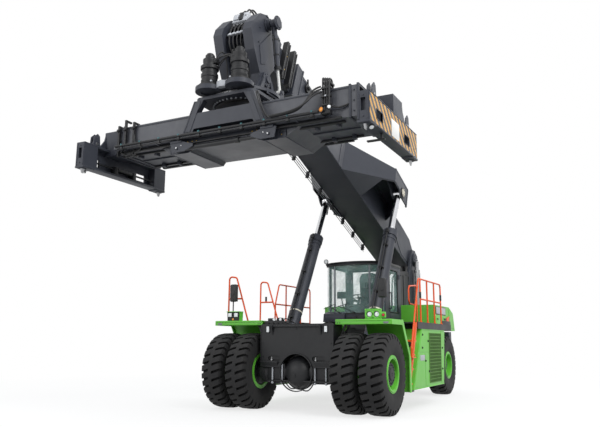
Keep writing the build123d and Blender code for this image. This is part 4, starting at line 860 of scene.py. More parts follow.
@dataclass
class Wheels:
    """Tyres, dishes, nuts and hub covers of all four wheels."""

    layout: Layout
    flange_y: float = 2.015
    inner_face_y: float = 0.995
    rear_disc_y: float = 1.405

    def build(self) -> None:
        """Make every wheel piece."""
        width = 2 * Tyre.half
        for side, sign in SIDES:
            for x, node, body in (
                (self.layout.front_x, f"{side}_front_tyres", f"{side}_front_wheels"),
                (self.layout.rear_x, f"{side}_rear_tyre", f"{side}_rear_wheel"),
            ):
                low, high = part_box(node)
                count = 2 if high[1] - low[1] > 1.5 * width else 1
                middles = [low[1] + width / 2, high[1] - width / 2] if count == 2 else [
                    (low[1] + high[1]) / 2
                ]
                piece = Piece(f"{node}_tread").use(Finish.TYRE)
                for y in middles:
                    Tyre().add(piece, x, y, self.layout.wheel_z)
                piece.done(body, "tyre_rubber", replaces=[node])
            self._front(side, sign)
            self._rear(side, sign)

    def _front(self, side: str, sign: int) -> None:
        """Dress a pair of drive wheels.

        Args:
            side: "left" or "right".
            sign: 1 on the left, -1 on the right.
        """
        at, axis = (self.layout.front_x, 0, self.layout.wheel_z), (0, sign, 0)
        dish = Piece(f"{side}_wheel_dish").use(Finish.GREEN)
        wall = ((1.562, 0.24), (1.6, 0.262), (1.9, 0.282), (1.945, 0.2975), (1.562, 0.2975))
        dish.lathe(wall, at, axis, 48)
        dish.ring(at, axis, 0.318, 0.35, self.flange_y - 0.002, self.flange_y + 0.012)
        dish.ring(at, axis, 0.356, 0.371, self.flange_y - 0.002, self.flange_y + 0.006)
        dish.done(f"{side}_front_wheels", "green_paint", 0.003)
        hub = Piece(f"{side}_hub_cover").use(Finish.BLACK)
        hub.knob(
            ((1.62, 0.21), (1.955, 0.228), (1.977, 0.218), (1.98, 0.13), (1.998, 0.122), (2.004, 0.06)), at,
            axis, 40,
        )
        hub.bolts(Vector(at) + Vector(axis) * 1.978, axis, 0.18, 16, 0.013, 0.014)
        hub.bolts(Vector(at) + Vector(axis) * 2.002, axis, 0.03, 3, 0.01, 0.008)
        # drum and backing on the inner side
        hub.ring(at, axis, 0.212, 0.29, self.inner_face_y + 0.02, self.inner_face_y + 0.075)
        hub.ring(at, axis, 0.225, 0.262, self.inner_face_y + 0.005, self.inner_face_y + 0.025)
        hub.bolts(
            Vector(at) + Vector(axis) * (self.inner_face_y + 0.02), (0, -sign, 0), 0.276, 16, 0.01, 0.012
        )
        hub.done(f"{side}_front_wheels", "black_paint", 0.002)

    def _rear(self, side: str, sign: int) -> None:
        """Dress a steered wheel.

        Args:
            side: "left" or "right".
            sign: 1 on the left, -1 on the right.
        """
        at, axis = Vector((self.layout.rear_x, 0, self.layout.wheel_z)), Vector((0, sign, 0))
        piece = Piece(f"{side}_rear_nuts").use(Finish.STEEL)
        piece.bolts(at + axis * self.rear_disc_y, axis, 0.215, 10, 0.018, 0.024)
        piece.use(Finish.BLACK).knob(
            ((1.4, 0.175), (1.5, 0.168), (1.508, 0.112), (1.52, 0.105), (1.524, 0.05)), at, axis, 36
        )
        piece.bolts(at + axis * 1.502, axis, 0.14, 10, 0.01, 0.01)
        piece.use(Finish.GREEN).ring(at, axis, 0.318, 0.345, 1.588, 1.602)
        piece.done(f"{side}_rear_wheel", "bare_steel", 0.002)


# ---------------------------------------------------------------- chassis
@dataclass
class FrontEnd:
    """Bumper fittings, the drive axle's dome and studs, and what stands on the front deck."""

    layout: Layout
    face: float = 0.27
    half: float = 0.861
    top: float = 1.8
    lamp_y: float = 0.684
    lamp_z: float = 1.69
    lip_y: float = 0.56
    stud_places: tuple[float, ...] = (-0.58, -0.35, 0.42, 0.67)

    def build(self) -> None:
        """Make the front end's pieces."""
        self._bumper()
        self._axle()
        self._deck()

    def _bumper(self) -> None:
        """Lip gussets, lamp bezels, ledges, slots and bolts."""
        piece = Piece("bumper_fittings", self.layout.axle(self.face)).use(Finish.BLACK)
        piece.plate(((-0.002, 1.775), (0.072, 1.775), (0.072, 1.735), (-0.002, 1.56)), "y", 0.555, 0.585)
        piece.rod((0.048, self.lip_y, 1.752), (-0.004, self.lip_y, 1.752), 0.03)
        for low, high in (
            (self.lamp_z - 0.075, self.lamp_z - 0.06), (self.lamp_z + 0.06, self.lamp_z + 0.075)
        ):
            piece.box((-0.002, 0.016), about(self.lamp_y, 0.047), (low, high), 0.003)
        for low in (self.lamp_y - 0.047, self.lamp_y + 0.032):
            piece.box((-0.002, 0.016), (low, low + 0.015), about(self.lamp_z, 0.062), 0.003)
        # ledge on each side of the arch, and the bevelled skirt below it
        piece.box((-0.004, 0.045), (0.42, self.half - 0.01), (0.995, 1.025), 0.008)
        piece.plate(((-0.002, 0.997), (0.042, 0.997), (0.004, 0.93), (-0.002, 0.93)), "y", 0.44, 0.83)
        piece.box((-0.002, 0.012), (self.half - 0.022, self.half - 0.002), (1.03, 1.77), 0.003)
        # pocket behind each slot
        piece.box((-0.09, -0.05), (0.34, 0.7), (1.02, 1.15))
        for z in (1.12, 1.4):
            piece.bolt((-0.001, 0.8, z), AHEAD, 0.014, 0.012)
        piece.mirrored()
        piece.use(Finish.BLACK).ring((0, 0, self.layout.wheel_z), AHEAD, 0.372, 0.392, -0.002, 0.03)
        piece.bolt((-0.001, 0, 1.7), AHEAD, 0.02, 0.014)
        piece.use(Finish.STEEL)
        for y in (-0.6, 0.44):
            piece.rod((-0.03, y, 1.03), (-0.03, y, 1.115), 0.012)
            piece.bolt((-0.03, y, 1.04), UP, 0.024, 0.024)
        piece.done("chassis", "black_paint", 0.002)

    def _axle(self) -> None:
        """Cover ring, plugs, and the studs that clamp the axle."""
        z = self.layout.wheel_z
        piece = Piece("axle_fittings", self.layout.axle(0.02)).use(Finish.BLACK)
        piece.ring((0, 0, z), AHEAD, 0.318, 0.366, 0.03, 0.062)
        piece.bolts((0.062, 0, z), AHEAD, 0.352, 20, 0.013, 0.014)
        piece.knob(((0.336, 0.034), (0.352, 0.034), (0.356, 0.018)), (0, 0, z - 0.02), (1, 0, -0.12), 24)
        piece.box((0.1, 0.24), (-0.72, 0.82), (0.612, 0.642), 0.006)
        piece.box((0.14, 0.19), (0.36, 0.8), (0.64, 0.98), 0.01)
        piece.box((0.14, 0.19), (-0.72, -0.3), (0.64, 0.98), 0.01)
        piece.use(Finish.PALE)
        for y in self.stud_places:
            piece.rod((0.215, y, 0.6), (0.215, y, 0.985), 0.017)
            piece.knob(
                ((0, 0.016), (0.012, 0.026), (0.034, 0.026), (0.046, 0.014)), (0.215, y, 0.562), UP, 12
            )
        piece.done("chassis", "bare_steel", 0.002)
        runs = [
            ((0, -0.3, 0.61), (0, -0.22, 0.5), (0.02, -0.1, 0.455), (0, 0.02, 0.5)),
            ((0, 0.04, 0.5), (0.02, 0.14, 0.43), (0.02, 0.3, 0.445), (0, 0.38, 0.61)),
            ((-0.06, -0.66, 0.61), (-0.05, -0.56, 0.56), (-0.05, -0.44, 0.57), (-0.06, -0.38, 0.61)),
        ]
        hoses("axle_hoses", runs, 0.013, "chassis", self.layout.axle(0.19))

    def _deck(self) -> None:
        """Valve block, hoses and two small lights on the deck behind the bumper."""
        place = self.layout.axle(0.1, self.top)
        piece = Piece("deck_valve", place).use(Finish.BLACK)
        piece.box((-0.16, 0.06), (-0.84, -0.4), (-0.06, 0.07), 0.01)
        piece.box((-0.1, 0.02), (-0.78, -0.66), (0.06, 0.13), 0.01)
        piece.box((-0.12, 0), (-0.56, -0.46), (0.06, 0.14), 0.01)
        piece.box((-2.0, 0.12), (-0.3, 0.3), (-0.065, -0.048), 0.004)
        for y in (-0.74, -0.62, -0.5):
            piece.bolt((0.058, y, 0.02), AHEAD, 0.022, 0.03)
        for y in (-0.62, -0.46):
            piece.lamp((0.02, y, 0.1), (1, 0.3, 0), 0.035, Finish.LENS)
        piece.done("chassis", "black_paint", 0.003)
        runs = [
            ((-0.05, y, 0.06), (-0.06, y, 0.13), (-0.2, y + 0.02, 0.12), (-0.5, y + 0.1, 0))
            for y in (-0.8, -0.6, -0.42)
        ]
        hoses("deck_hoses", runs, 0.012, "chassis", place)


@dataclass
class Fenders:
    """Fender lips and edges, lamps on brackets, mirrors and tread plate."""

    layout: Layout
    inner: float = 0.87
    outer: float = 2.08
    lip_x: float = 0.2
    slope_x: float = -0.5
    guard_x: float = -0.96
    mirror_y: float = 1.8

    def build(self) -> None:
        """Make both fenders' pieces."""
        lip, slope, guard, out = self.lip_x, self.slope_x, self.guard_x, self.outer
        top = self.layout.deck_z
        piece = Piece("fender_edges", self.layout.axle()).use(Finish.GREEN)
        # rolled front lip and the band down the outer edge
        piece.box((lip - 0.05, lip + 0.018), (self.inner, out), (top - 0.035, top + 0.006), 0.012)
        piece.box((lip - 0.012, lip + 0.01), (self.inner, out), (top - 0.098, top - 0.03), 0.007)
        band = (
            (lip + 0.01, top - 0.098), (lip + 0.01, top + 0.004), (slope, top + 0.004), (guard - 0.004, 1.1),
            (guard - 0.004, 0.405), (guard + 0.1, 0.405), (guard + 0.1, 1.125), (slope + 0.07, top - 0.098),
        )
        piece.plate(band, "y", out - 0.012, out + 0.012)
        piece.use(Finish.GREY).box(
            (lip, lip + 0.016), (out - 0.17, out - 0.06), (top - 0.085, top - 0.045), 0.004
        )
        piece.use(Finish.BLACK)
        for y in (self.inner + 0.05, self.inner + 0.1):
            piece.bolt((lip + 0.008, y, top - 0.065), AHEAD, 0.012, 0.01)
        # stay from the bumper's cheek up to the fender, and the tread plate
        piece.rod((0.06, 0.84, 1.33), (0.06, 1.06, top - 0.025), 0.022)
        piece.rod((-0.14, 0.84, 1.33), (-0.14, 1.06, top - 0.025), 0.022)
        piece.box((-0.46, -0.1), (1.3, 2.02), (top - 0.002, top + 0.006), 0.002)
        for number in range(9):
            y = 1.34 + 0.08 * number
            piece.box((-0.44, -0.12), (y, y + 0.02), (top + 0.005, top + 0.01), 0.002)
        piece.mirrored().done("chassis", "green_paint", 0.003)
        self._right_lamps()
        self._left_lamps()
        self._mirrors()
        loop = (
            (-0.42, 2.4), (-0.42, 2.68), (-0.48, 2.75), (-0.98, 2.8), (-1.05, 2.73), (-1.05, 2.4),
            (-0.98, 2.32), (-0.48, 2.33), (-0.42, 2.4),
        )
        runs = [[(x, 1.62, z) for x, z in loop], ((-1.05, 1.62, top - 0.02), (-1.05, 1.62, 2.44))]
        hoses("grab_loop", runs, 0.019, "chassis", None, Finish.ORANGE, stiff=True)

    def _right_lamps(self) -> None:
        """A hooded box with two lamps in a black face, and an amber lamp below them."""
        z = self.layout.deck_z
        box = Piece("right_light_box", self.layout.axle(0.02, z)).use(Finish.GREEN)
        shell = ((-1.81, 0), (-1.82, 0.213), (-1.49, 0.213), (-1.5, 0))
        box.plate(shell, "x", -0.02, 0.125)
        box.box((-0.02, 0.155), (-1.828, -1.482), (0.2, 0.215), 0.005)
        box.use(Finish.BLACK).plate(
            [(y * 0.97 - 0.0495, h * 0.985 - 0.000155) for y, h in shell], "x", 0.12, 0.135
        )
        for y in (-1.735, -1.575):
            box.use(Finish.MOULDED).box((0.12, 0.15), about(y, 0.062), (0.075, 0.19), 0.012)
            box.use(Finish.LENS).box((0.13, 0.158), about(y, 0.046), (0.092, 0.175), 0.01)
        box.lamp((0.12, -1.655, 0.038), AHEAD, 0.03, Finish.AMBER)
        box.done("chassis", "green_paint", 0.002, replaces=["light_boxes"])

    def _left_lamps(self) -> None:
        """A green bracket with two rings that hold lamps, and a red lamp at its end."""
        piece = Piece("left_light_bracket", self.layout.axle(0.09, self.layout.deck_z)).use(Finish.GREEN)
        piece.box((-0.01, 0.05), (1.49, 1.84), (0, 0.02), 0.005)
        piece.box((-0.01, 0.05), (1.49, 1.84), (0.188, 0.212), 0.007)
        for y in (1.495, 1.655, 1.815):
            piece.box((-0.01, 0.05), (y, y + 0.022), (0, 0.2), 0.006)
        for y in (1.586, 1.744):
            piece.ring((0, y, 0.105), AHEAD, 0.062, 0.088, -0.012, 0.058)
            piece.lamp((-0.02, y, 0.105), AHEAD, 0.058, Finish.LENS)
            piece.use(Finish.GREEN)
        piece.box((-0.01, 0.05), (1.83, 1.93), (0.03, 0.15), 0.015)
        piece.lamp((0.03, 1.885, 0.085), (1, 0.2, 0), 0.034, Finish.RED)
        piece.done("chassis", "green_paint", 0.002)

    def _mirrors(self) -> None:
        """Rounded mirror housings on bent posts, with the glass at the back."""
        piece = Piece("mirror_heads", self.layout.axle(-0.075, self.layout.deck_z)).use(Finish.MOULDED)
        y0, y1 = self.mirror_y - 0.09, self.mirror_y + 0.09
        piece.box((-0.035, 0.045), (y0, y1), (0.443, 0.843), 0.036)
        piece.box((-0.045, -0.025), (y0 + 0.006, y1 - 0.006), (0.45, 0.836), 0.008)
        piece.box((0.035, 0.055), (y0 + 0.04, y1 - 0.04), (0.6, 0.7), 0.01)
        piece.rod((0.015, self.mirror_y, 0), (0.015, self.mirror_y, 0.62), 0.014)
        piece.box((-0.025, 0.055), about(self.mirror_y, 0.04), (0, 0.014), 0.004)
        for height in (0.47, 0.58):
            piece.box((0.035, 0.06), about(self.mirror_y, 0.03), (height, height + 0.03), 0.006)
        piece.use(Finish.MIRROR)
        piece.box((-0.049, -0.043), (y0 + 0.014, y1 - 0.014), (0.56, 0.825), 0.002)
        piece.box((-0.049, -0.043), (y0 + 0.014, y1 - 0.014), (0.46, 0.545), 0.002)
        piece.mirrored().done("chassis", "black_plastic", replaces=["mirrors"])


@dataclass
class SideBoxes:
    """Panels, mesh, latches and blank plates on the tanks between the wheels, and the steps' grips."""

    layout: Layout
    face: float = 2.05
    mesh_rows: int = 15
    mesh_columns: int = 11

    def build(self) -> None:
        """Make the side boxes' and steps' pieces."""
        piece = Piece("side_box_panels").use(Finish.GREEN)
        y0, y1 = self.face - 0.001, self.face + 0.007
        # upper door, lower door and rear door, each a raised skin with a dark joint round it
        piece.plate(((0.04, 1.7), (-0.46, 1.7), (-0.46, 1.215), (0.31, 1.215)), "y", y0, y1)
        piece.plate(((0.335, 1.185), (-0.13, 1.185), (-0.13, 0.475), (0.725, 0.475)), "y", y0, y1)
        piece.plate(((-0.15, 1.185), (-0.46, 1.185), (-0.46, 0.475), (-0.15, 0.475)), "y", y0, y1)
        piece.plate(((-1.58, 1.7), (-1.87, 1.7), (-1.7, 0.475), (-1.5, 0.475)), "y", y0, y1)
        piece.box((-1.86, 0.07), (self.face - 0.001, self.face + 0.012), (1.705, 1.722), 0.003)
        piece.box((-1.7, 0.76), (self.face - 0.001, self.face + 0.012), (0.432, 0.452), 0.003)
        self._mesh(piece)
        piece.use(Finish.PALE).box((-0.11, 0.24), (y1 - 0.001, y1 + 0.003), (1.03, 1.15), 0.001)
        piece.use(Finish.BLACK)
        for x, z in (
            (0.03, 1.6), (-0.4, 1.46), (0.06, 1.31), (-0.42, 0.78), (-0.17, 1.02), (-1.64, 1.3), (-1.6, 0.8)
        ):
            piece.knob(
                ((0, 0.026), (0.01, 0.026), (0.014, 0.016), (0.022, 0.014)), (x, y1 - 0.002, z), LEFT, 16
            )
        # dark toe step under the front, and the filler cap on top
        piece.box((0.56, 0.8), (1.62, 2.0), (0.385, 0.43), 0.01)
        piece.knob(
            ((0, 0.06), (0.05, 0.06), (0.055, 0.075), (0.085, 0.075), (0.09, 0.05)), (0.2, 1.8, 1.345),
            (0.55, 0, 0.3),
        )
        piece.mirrored().done("chassis", "green_paint", 0.0015)
        self._grips()

    def _mesh(self, piece: Piece) -> None:
        """A louvred intake: a dark back plate behind crossed green bars, in a bolted frame.

        Args:
            piece: The piece to add it to.
        """
        y = self.face
        front, rear, low, high = -0.53, -1.52, 0.52, 1.64
        lean = 0.07  # the frame's front edge leans with the box
        piece.use(Finish.BLACK)
        piece.plate(
            ((front + lean, low), (front, high), (rear, high), (rear + lean, low)), "y", y - 0.001, y + 0.006
        )
        piece.use(Finish.OLIVE)
        for row in range(self.mesh_rows + 1):
            z = low + (high - low) * row / self.mesh_rows
            move = lean * (1 - row / self.mesh_rows)
            piece.box((rear + move, front + move), (y + 0.004, y + 0.014), about(z, 0.008))
        for column in range(self.mesh_columns + 1):
            x = rear + (front - rear) * column / self.mesh_columns
            wide = 0.012 if column in (0, self.mesh_columns) else 0.007
            piece.plate(
                ((x + lean - wide, low), (x + lean + wide, low), (x + wide, high), (x - wide, high)), "y",
                y + 0.004, y + 0.018,
            )
            for row in range(0, self.mesh_rows + 1, self.mesh_rows):
                z = low + (high - low) * row / self.mesh_rows
                piece.bolt((x + lean * (1 - row / self.mesh_rows), y + 0.014, z), LEFT, 0.009, 0.006)
        piece.use(Finish.GREEN)

    def _grips(self) -> None:
        """Raised grip bars on each step, and rubber sleeves on the rails."""
        piece = Piece("step_grips", self.layout.axle()).use(Finish.ORANGE)
        for number in range(4):
            z = 0.56 + 0.3 * number
            x = -1.03 - 0.04 - (z - 0.55) * (1.62 - 1.03 - 0.045) / (self.layout.deck_z - 0.55)
            for row in range(4):
                piece.box(
                    (x - 0.115 + 0.04 * row, x - 0.105 + 0.04 * row), (1.52, 2.01), (z + 0.014, z + 0.021),
                    0.002,
                )
            piece.box((x + 0.02, x + 0.044), (1.516, 2.014), (z - 0.02, z + 0.018), 0.003)
        piece.use(Finish.MOULDED)
        piece.rod((-1.95, 2.035, 2.42), (-1.95, 2.035, 2.56), 0.025)
        piece.rod((-3.7, 2.035, 2.46), (-3.7, 2.035, 2.6), 0.025)
        # walkway's tread bars and kick plate
        piece.use(Finish.BLACK)
        top = self.layout.deck_z
        for number in range(17):
            x = -2.25 - 0.13 * number
            piece.box(about(x, 0.02), (0.95, 2.0), (top - 0.001, top + 0.005), 0.001)
        piece.box((-4.54, -3.75), (2.045, 2.058), (top, top + 0.09), 0.003)
        piece.mirrored().done("chassis", "orange_paint", 0.0015)


@dataclass
class Tail:
    """Hood panels, louvres and window, the counterweight's lamps and seams, and the exhaust."""

    layout: Layout
    hood_half: float = 1.62
    hood_top: float = 2.42
    tail_rear: float = -7.54

    def build(self) -> None:
        """Make the tail's pieces."""
        self._hood()
        self._counterweight()
        self._exhaust()
        self._tower()

    def _hood(self) -> None:
        """Raised doors with louvres, a rounded window whose pane is a pale painted reflection, handles,
        hinges and an orange guard.
        """
        a, y = self.layout.ahead, self.hood_half
        piece = Piece("hood_panels").use(Finish.GREEN)
        doors = ((-4.7, -5.38), (-5.42, -6.1))
        for front, rear in doors:
            piece.box((a(front), a(rear)), (y - 0.001, y + 0.01), (1.83, 2.12), 0.004)
            piece.box(
                (a(front), a(rear)), (0.62, y - 0.04), (self.hood_top - 0.001, self.hood_top + 0.01), 0.004
            )
        piece.plate(
            ((a(-6.14), 1.83), (a(-6.14), 2.36), (a(-6.52), 2.24), (a(-6.68), 1.83)), "y", y - 0.001, y + 0.01
        )
        piece.use(Finish.BLACK)
        for row in range(7):
            z = 1.87 + 0.034 * row
            piece.box((a(-5.5), a(-6.02)), (y + 0.008, y + 0.02), (z, z + 0.016), 0.003)
            x = a(-6.2 - 0.034 * row)
            piece.box(about(x, 0.009), (0.75, 1.45), (2.385 - 0.0105 * row, 2.4 - 0.0115 * row), 0.003)
        for front, rear in doors:
            piece.box((a(front - 0.1), a(front - 0.24)), (y + 0.008, y + 0.034), (2.04, 2.065), 0.008)
            for x in (front - 0.02, rear + 0.08):
                piece.rod((a(x), y + 0.012, 1.835), (a(x - 0.06), y + 0.012, 1.835), 0.013)
        # window with rounded corners, between the doors and the roof; its pane is opaque pale paint, a
        # painted reflection on the glass
        piece.box((a(-4.72), a(-5.74)), about(y, 0.012), (2.17, 2.39), 0.011)
        piece.use(Finish.PALE).box((a(-4.75), a(-5.71)), (y + 0.004, y + 0.015), (2.19, 2.37), 0.006)
        piece.use(Finish.ORANGE)
        piece.box((a(-5.1), a(-5.95)), (y + 0.01, y + 0.03), (1.76, 1.81), 0.01)
        piece.plate(
            ((a(-5.78), 2.1), (a(-6.05), 2.16), (a(-5.98), 1.8), (a(-5.62), 1.79)), "y", y + 0.012, y + 0.028
        )
        piece.mirrored().done("chassis", "green_paint", 0.0015)

    def _counterweight(self) -> None:
        """Seams, lifting eyes, tail lamps, reflectors and the tow pin."""
        x = self.layout.ahead(self.tail_rear)
        piece = Piece("tail_fittings").use(Finish.ANTHRACITE)
        piece.box(about(x, 0.01), (0.28, 1.14), (0.98, 1.58), 0.006)
        piece.box((x + 0.2, x + 0.42), (1.345, 1.362), (0.86, 1.64), 0.006)
        piece.lathe(
            [(0.02 * math.cos(t), 0.075 + 0.02 * math.sin(t)) for t in (0, 1.05, 2.09, 3.14, 4.19, 5.24)],
            (x + 0.3, 0.9, 1.76), LEFT, 24,
        )
        piece.use(Finish.BLACK).box((x - 0.016, x), (0.98, 1.13), (1.42, 1.66), 0.008)
        piece.lamp((x - 0.01, 1.055, 1.6), (-1, 0, 0), 0.042, Finish.RED)
        piece.lamp((x - 0.01, 1.055, 1.49), (-1, 0, 0), 0.042, Finish.AMBER)
        piece.use(Finish.RED).box((x - 0.014, x - 0.006), (0.95, 1.11), (0.86, 0.92), 0.003)
        for y, z in ((0.34, 1.04), (0.34, 1.52), (1.08, 1.04)):
            piece.use(Finish.STEEL).bolt((x - 0.009, y, z), (-1, 0, 0), 0.022, 0.014)
        piece.mirrored()
        # pin through the tow clevis, with a ring to lift it by
        tow = (self.layout.ahead(-7.62), 0, 0.86)
        piece.use(Finish.STEEL).knob(
            ((0, 0.015), (0.02, 0.028), (0.31, 0.028), (0.31, 0.05), (0.335, 0.05), (0.34, 0.03)), tow, UP
        )
        piece.done("chassis", "anthracite_paint", 0.003)

    def _exhaust(self) -> None:
        """A perforated shield, clamps and a raked outlet with a rain flap."""
        low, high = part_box("exhaust_stack")
        place = Matrix.Translation(((low[0] + high[0]) / 2, high[1] - 0.09, self.hood_top))
        piece = Piece("exhaust_trim", place).use(Finish.STEEL)
        for number in range(6):
            piece.ring((0, 0, 0.16 + 0.16 * number), UP, 0.089, 0.096, 0, 0.012)
        for number in range(10):
            turn = math.tau * number / 10
            x, y = 0.093 * math.cos(turn), 0.093 * math.sin(turn)
            piece.rod((x, y, 0.1), (x, y, 1.05), 0.007, sides=8)
        piece.ring((0, 0, high[2] - self.hood_top - 0.03), UP, 0.059, 0.068, 0, 0.03)
        piece.use(Finish.BLACK).ring((0, 0, 0), UP, 0.088, 0.13, 0, 0.04)
        piece.bolts((0, 0, 0.04), UP, 0.11, 8, 0.01, 0.008)
        piece.done("chassis", "bare_steel", 0.0015)

    def _tower(self) -> None:
        """Caps and keeper plates on the boom's pivot, and ribs and bolts down the tower's plates."""
        pivot = self.layout.pivot
        piece = Piece("tower_fittings").use(Finish.ANTHRACITE)
        piece.knob(
            ((0.56, 0.19), (0.578, 0.185), (0.582, 0.1), (0.592, 0.095)), (pivot.x, 0, pivot.z), LEFT, 40
        )
        piece.bolts(Vector((pivot.x, 0.578, pivot.z)), LEFT, 0.15, 8, 0.016, 0.014)
        piece.plate(
            ((pivot.x - 0.25, 3.7), (pivot.x + 0.28, 3.7), (pivot.x + 0.62, 2.55), (pivot.x - 0.42, 2.55)),
            "y", 0.519, 0.533,
        )
        piece.box((self.layout.ahead(-7.06), self.layout.ahead(-5.56)), (0.52, 0.6), (1.762, 1.8), 0.008)
        for number in range(7):
            piece.bolt((self.layout.ahead(-7.0 + 0.23 * number), 0.565, 1.798), UP, 0.018, 0.014)
        piece.use(Finish.STEEL).knob(((0.59, 0.02), (0.61, 0.014)), (pivot.x, 0, pivot.z), LEFT, 12)
        # hose guards that close the space between the cab and the tower
        piece.use(Finish.BLACK)
        guard = ((-2.7, 2.4), (-2.62, 3.22), (-2.82, 3.36), (-3.6, 3.46), (-4.2, 3.46), (-4.2, 2.4))
        piece.plate(guard, "y", 0.5, 0.515)
        for x in (-2.95, -3.45, -3.95):
            piece.box(about(x, 0.03), (0.513, 0.53), (2.44, 3.34), 0.006)
        for x, z in ((-2.76, 2.6), (-2.74, 3.1), (-3.2, 3.3), (-3.7, 3.36)):
            piece.bolt((x, 0.515, z), LEFT, 0.018, 0.014)
        piece.mirrored().done("chassis", "anthracite_paint", 0.003)
        hoses(
            "tower_hoses",
            [
                (
                    (-3.05, y, 2.42), (-3.05, y, 3.0), (-3.25, 0.9 * y, 3.34), (-3.8, 0.8 * y, 3.4),
                    (-4.3, 0.7 * y, 3.42), (-4.5, 0.6 * y, 3.6),
                )
                for y in (-0.4, -0.33, -0.26, 0.3, 0.38)
            ],
            0.022,
            "chassis",
        )


@dataclass
class Cab:
    """Roof edge, gaskets, lamps, wipers, lower skirt boxes, the seat and the controls."""

    layout: Layout
    half: float = 0.78
    front: float = -2.68
    corner: float = -2.96
    rear: float = -4.35
    floor: float = 1.927
    roof: float = 3.45
    sill: float = 2.13
    header: float = 3.37

    def build(self) -> None:
        """Make the cab's pieces."""
        self._roof()
        self._screen()
        self._skirt()
        self._seat()
        self._controls()
        self._door()

    def _bow(self, y: float) -> float:
        """The screen's X at a distance from the middle plane."""
        rise, half = self.front - self.corner, self.half
        radius = (half**2 + rise**2) / (2 * rise)
        return self.front - radius + math.sqrt(radius**2 - y**2)

    def _bar(self, piece: Piece, z: tuple[float, float], out: float, deep: float) -> None:
        """Add a bar that follows the bowed front.

        Args:
            piece: The piece.
            z: Its lower and upper heights.
            out: How far it stands out from the cab's outside.
            deep: How deep it is from front to back.
        """
        ways = [self.half * (number / 8 - 1) for number in range(17)]
        front = [(self._bow(y) + out, y * (1 + out / self.half)) for y in ways]
        back = [(x - deep, y * (1 - 0.4 * deep)) for x, y in reversed(front)]
        piece.plate([*front, *back], "z", *z)

    def _roof(self) -> None:
        """A thin dark roof edge, a hatch, a vent, corner lamps and an amber beacon."""
        piece = Piece("cab_roof", self.layout.axle()).use(Finish.BLACK)
        self._bar(piece, (self.header + 0.035, self.roof + 0.006), 0.018, 0.1)
        piece.box(
            (self.rear - 0.01, self.corner), (self.half - 0.03, self.half + 0.015),
            (self.header + 0.03, self.roof + 0.015), 0.008,
        )
        piece.box((-4.3, -3.1), (0, 0.7), (self.roof - 0.002, self.roof + 0.022), 0.01)
        piece.box((-3.95, -3.35), (0, 0.3), (self.roof + 0.02, self.roof + 0.055), 0.015)
        piece.rod(
            (-3.0, self.half - 0.02, self.roof + 0.01), (-3.0, self.half + 0.02, self.roof + 0.06), 0.012
        )
        piece.mirrored()
        for sign in (1, -1):
            piece.lamp(
                (-3.0, sign * (self.half + 0.01), self.roof + 0.07), (1, 0.15 * sign, -0.15), 0.062,
                Finish.LENS,
            )
            piece.use(Finish.BLACK)
        piece.knob(((0, 0.05), (0.03, 0.05), (0.032, 0.03)), (-4.15, -0.55, self.roof + 0.02), UP)
        piece.use(Finish.AMBER).knob(
            ((0.03, 0.045), (0.1, 0.042), (0.13, 0.02)), (-4.15, -0.55, self.roof + 0.02), UP
        )
        piece.done("chassis", "black_paint", 0.002)

    def _screen(self) -> None:
        """Gaskets round the panes, pale strips at the pane joints that are painted reflections on the glass,
        and a parked wiper on each pane.
        """
        piece = Piece("screen_gaskets", self.layout.axle()).use(Finish.MOULDED)
        self._bar(piece, (self.sill - 0.015, self.sill + 0.022), 0.004, 0.06)
        self._bar(piece, (self.header - 0.008, self.header + 0.02), 0.004, 0.06)
        # pale strips at the pane joints: painted reflections, the white streaks on the screen
        piece.use(Finish.GREY)
        for y in (-0.48, 0.48):
            x = self._bow(y)
            piece.box((x - 0.05, x - 0.008), about(y, 0.018), (self.sill, self.header), 0.004)
        # wiper: a spindle, an arm and a blade
        piece.use(Finish.HOSE)
        for y, reach in ((0.1, -0.42), (-0.3, -0.3)):
            x = self._bow(y) + 0.02
            piece.rod((x - 0.03, y, self.sill + 0.03), (x + 0.03, y, self.sill + 0.03), 0.022)
            piece.rod((x + 0.02, y, self.sill + 0.03), (x + 0.01, y + reach, self.sill + 0.2), 0.01, 0.006)
            piece.rod(
                (x, y + reach * 1.5, self.sill + 0.13), (x + 0.01, y + reach * 0.4, self.sill + 0.25), 0.008
            )
        # gaskets round the side and rear windows
        piece.use(Finish.MOULDED)
        for low, high in ((-4.26, -4.22), (-3.19, -3.15)):
            piece.box(
                (low, high), (-self.half - 0.004, -self.half + 0.02), (self.sill - 0.02, self.header + 0.02),
                0.004,
            )
        for low, high in (about(self.sill, 0.02), about(self.header, 0.02)):
            piece.box((-4.26, -3.15), (-self.half - 0.004, -self.half + 0.02), (low, high), 0.004)
        for y in (-0.62, 0.62):
            piece.box(
                (self.rear - 0.004, self.rear + 0.02), about(y, 0.02), (2.26, self.header + 0.02), 0.004
            )
        for z in (2.28, self.header):
            piece.box((self.rear - 0.004, self.rear + 0.02), (-0.64, 0.64), about(z, 0.02), 0.004)
        piece.done("chassis", "black_plastic", 0.0015)

    def _skirt(self) -> None:
        """A bevelled box and dark panels below the screen, steps and hoses beside it."""
        piece = Piece("cab_skirt", self.layout.axle(self.front)).use(Finish.ANTHRACITE)
        # box whose face leans back, at the lower right of the screen
        face = ((-0.16, 1.9), (0.09, 1.93), (0.05, 2.13), (-0.16, 2.19))
        piece.plate(face, "y", -0.72, -0.14)
        piece.box((0, 0.088), (-0.66, -0.2), (1.95, 2.06), 0.012)
        piece.use(Finish.BLACK)
        piece.plate(((-0.16, 1.88), (0.03, 1.88), (-0.01, 2.09), (-0.16, 2.11)), "y", -0.1, 0.7)
        for y in (0, 0.22, 0.44):
            piece.box((-0.04, 0.034), (y, y + 0.17), (1.9, 2.05), 0.01)
        piece.box((0.03, 0.3), (-0.62, -0.34), (1.742, 1.9), 0.02)
        piece.box((0.03, 0.34), (0.05, 0.3), (1.742, 1.86), 0.02)
        piece.rod((0.18, -0.48, 1.89), (0.18, -0.48, 1.95), 0.05)
        piece.done("chassis", "anthracite_paint", 0.004)

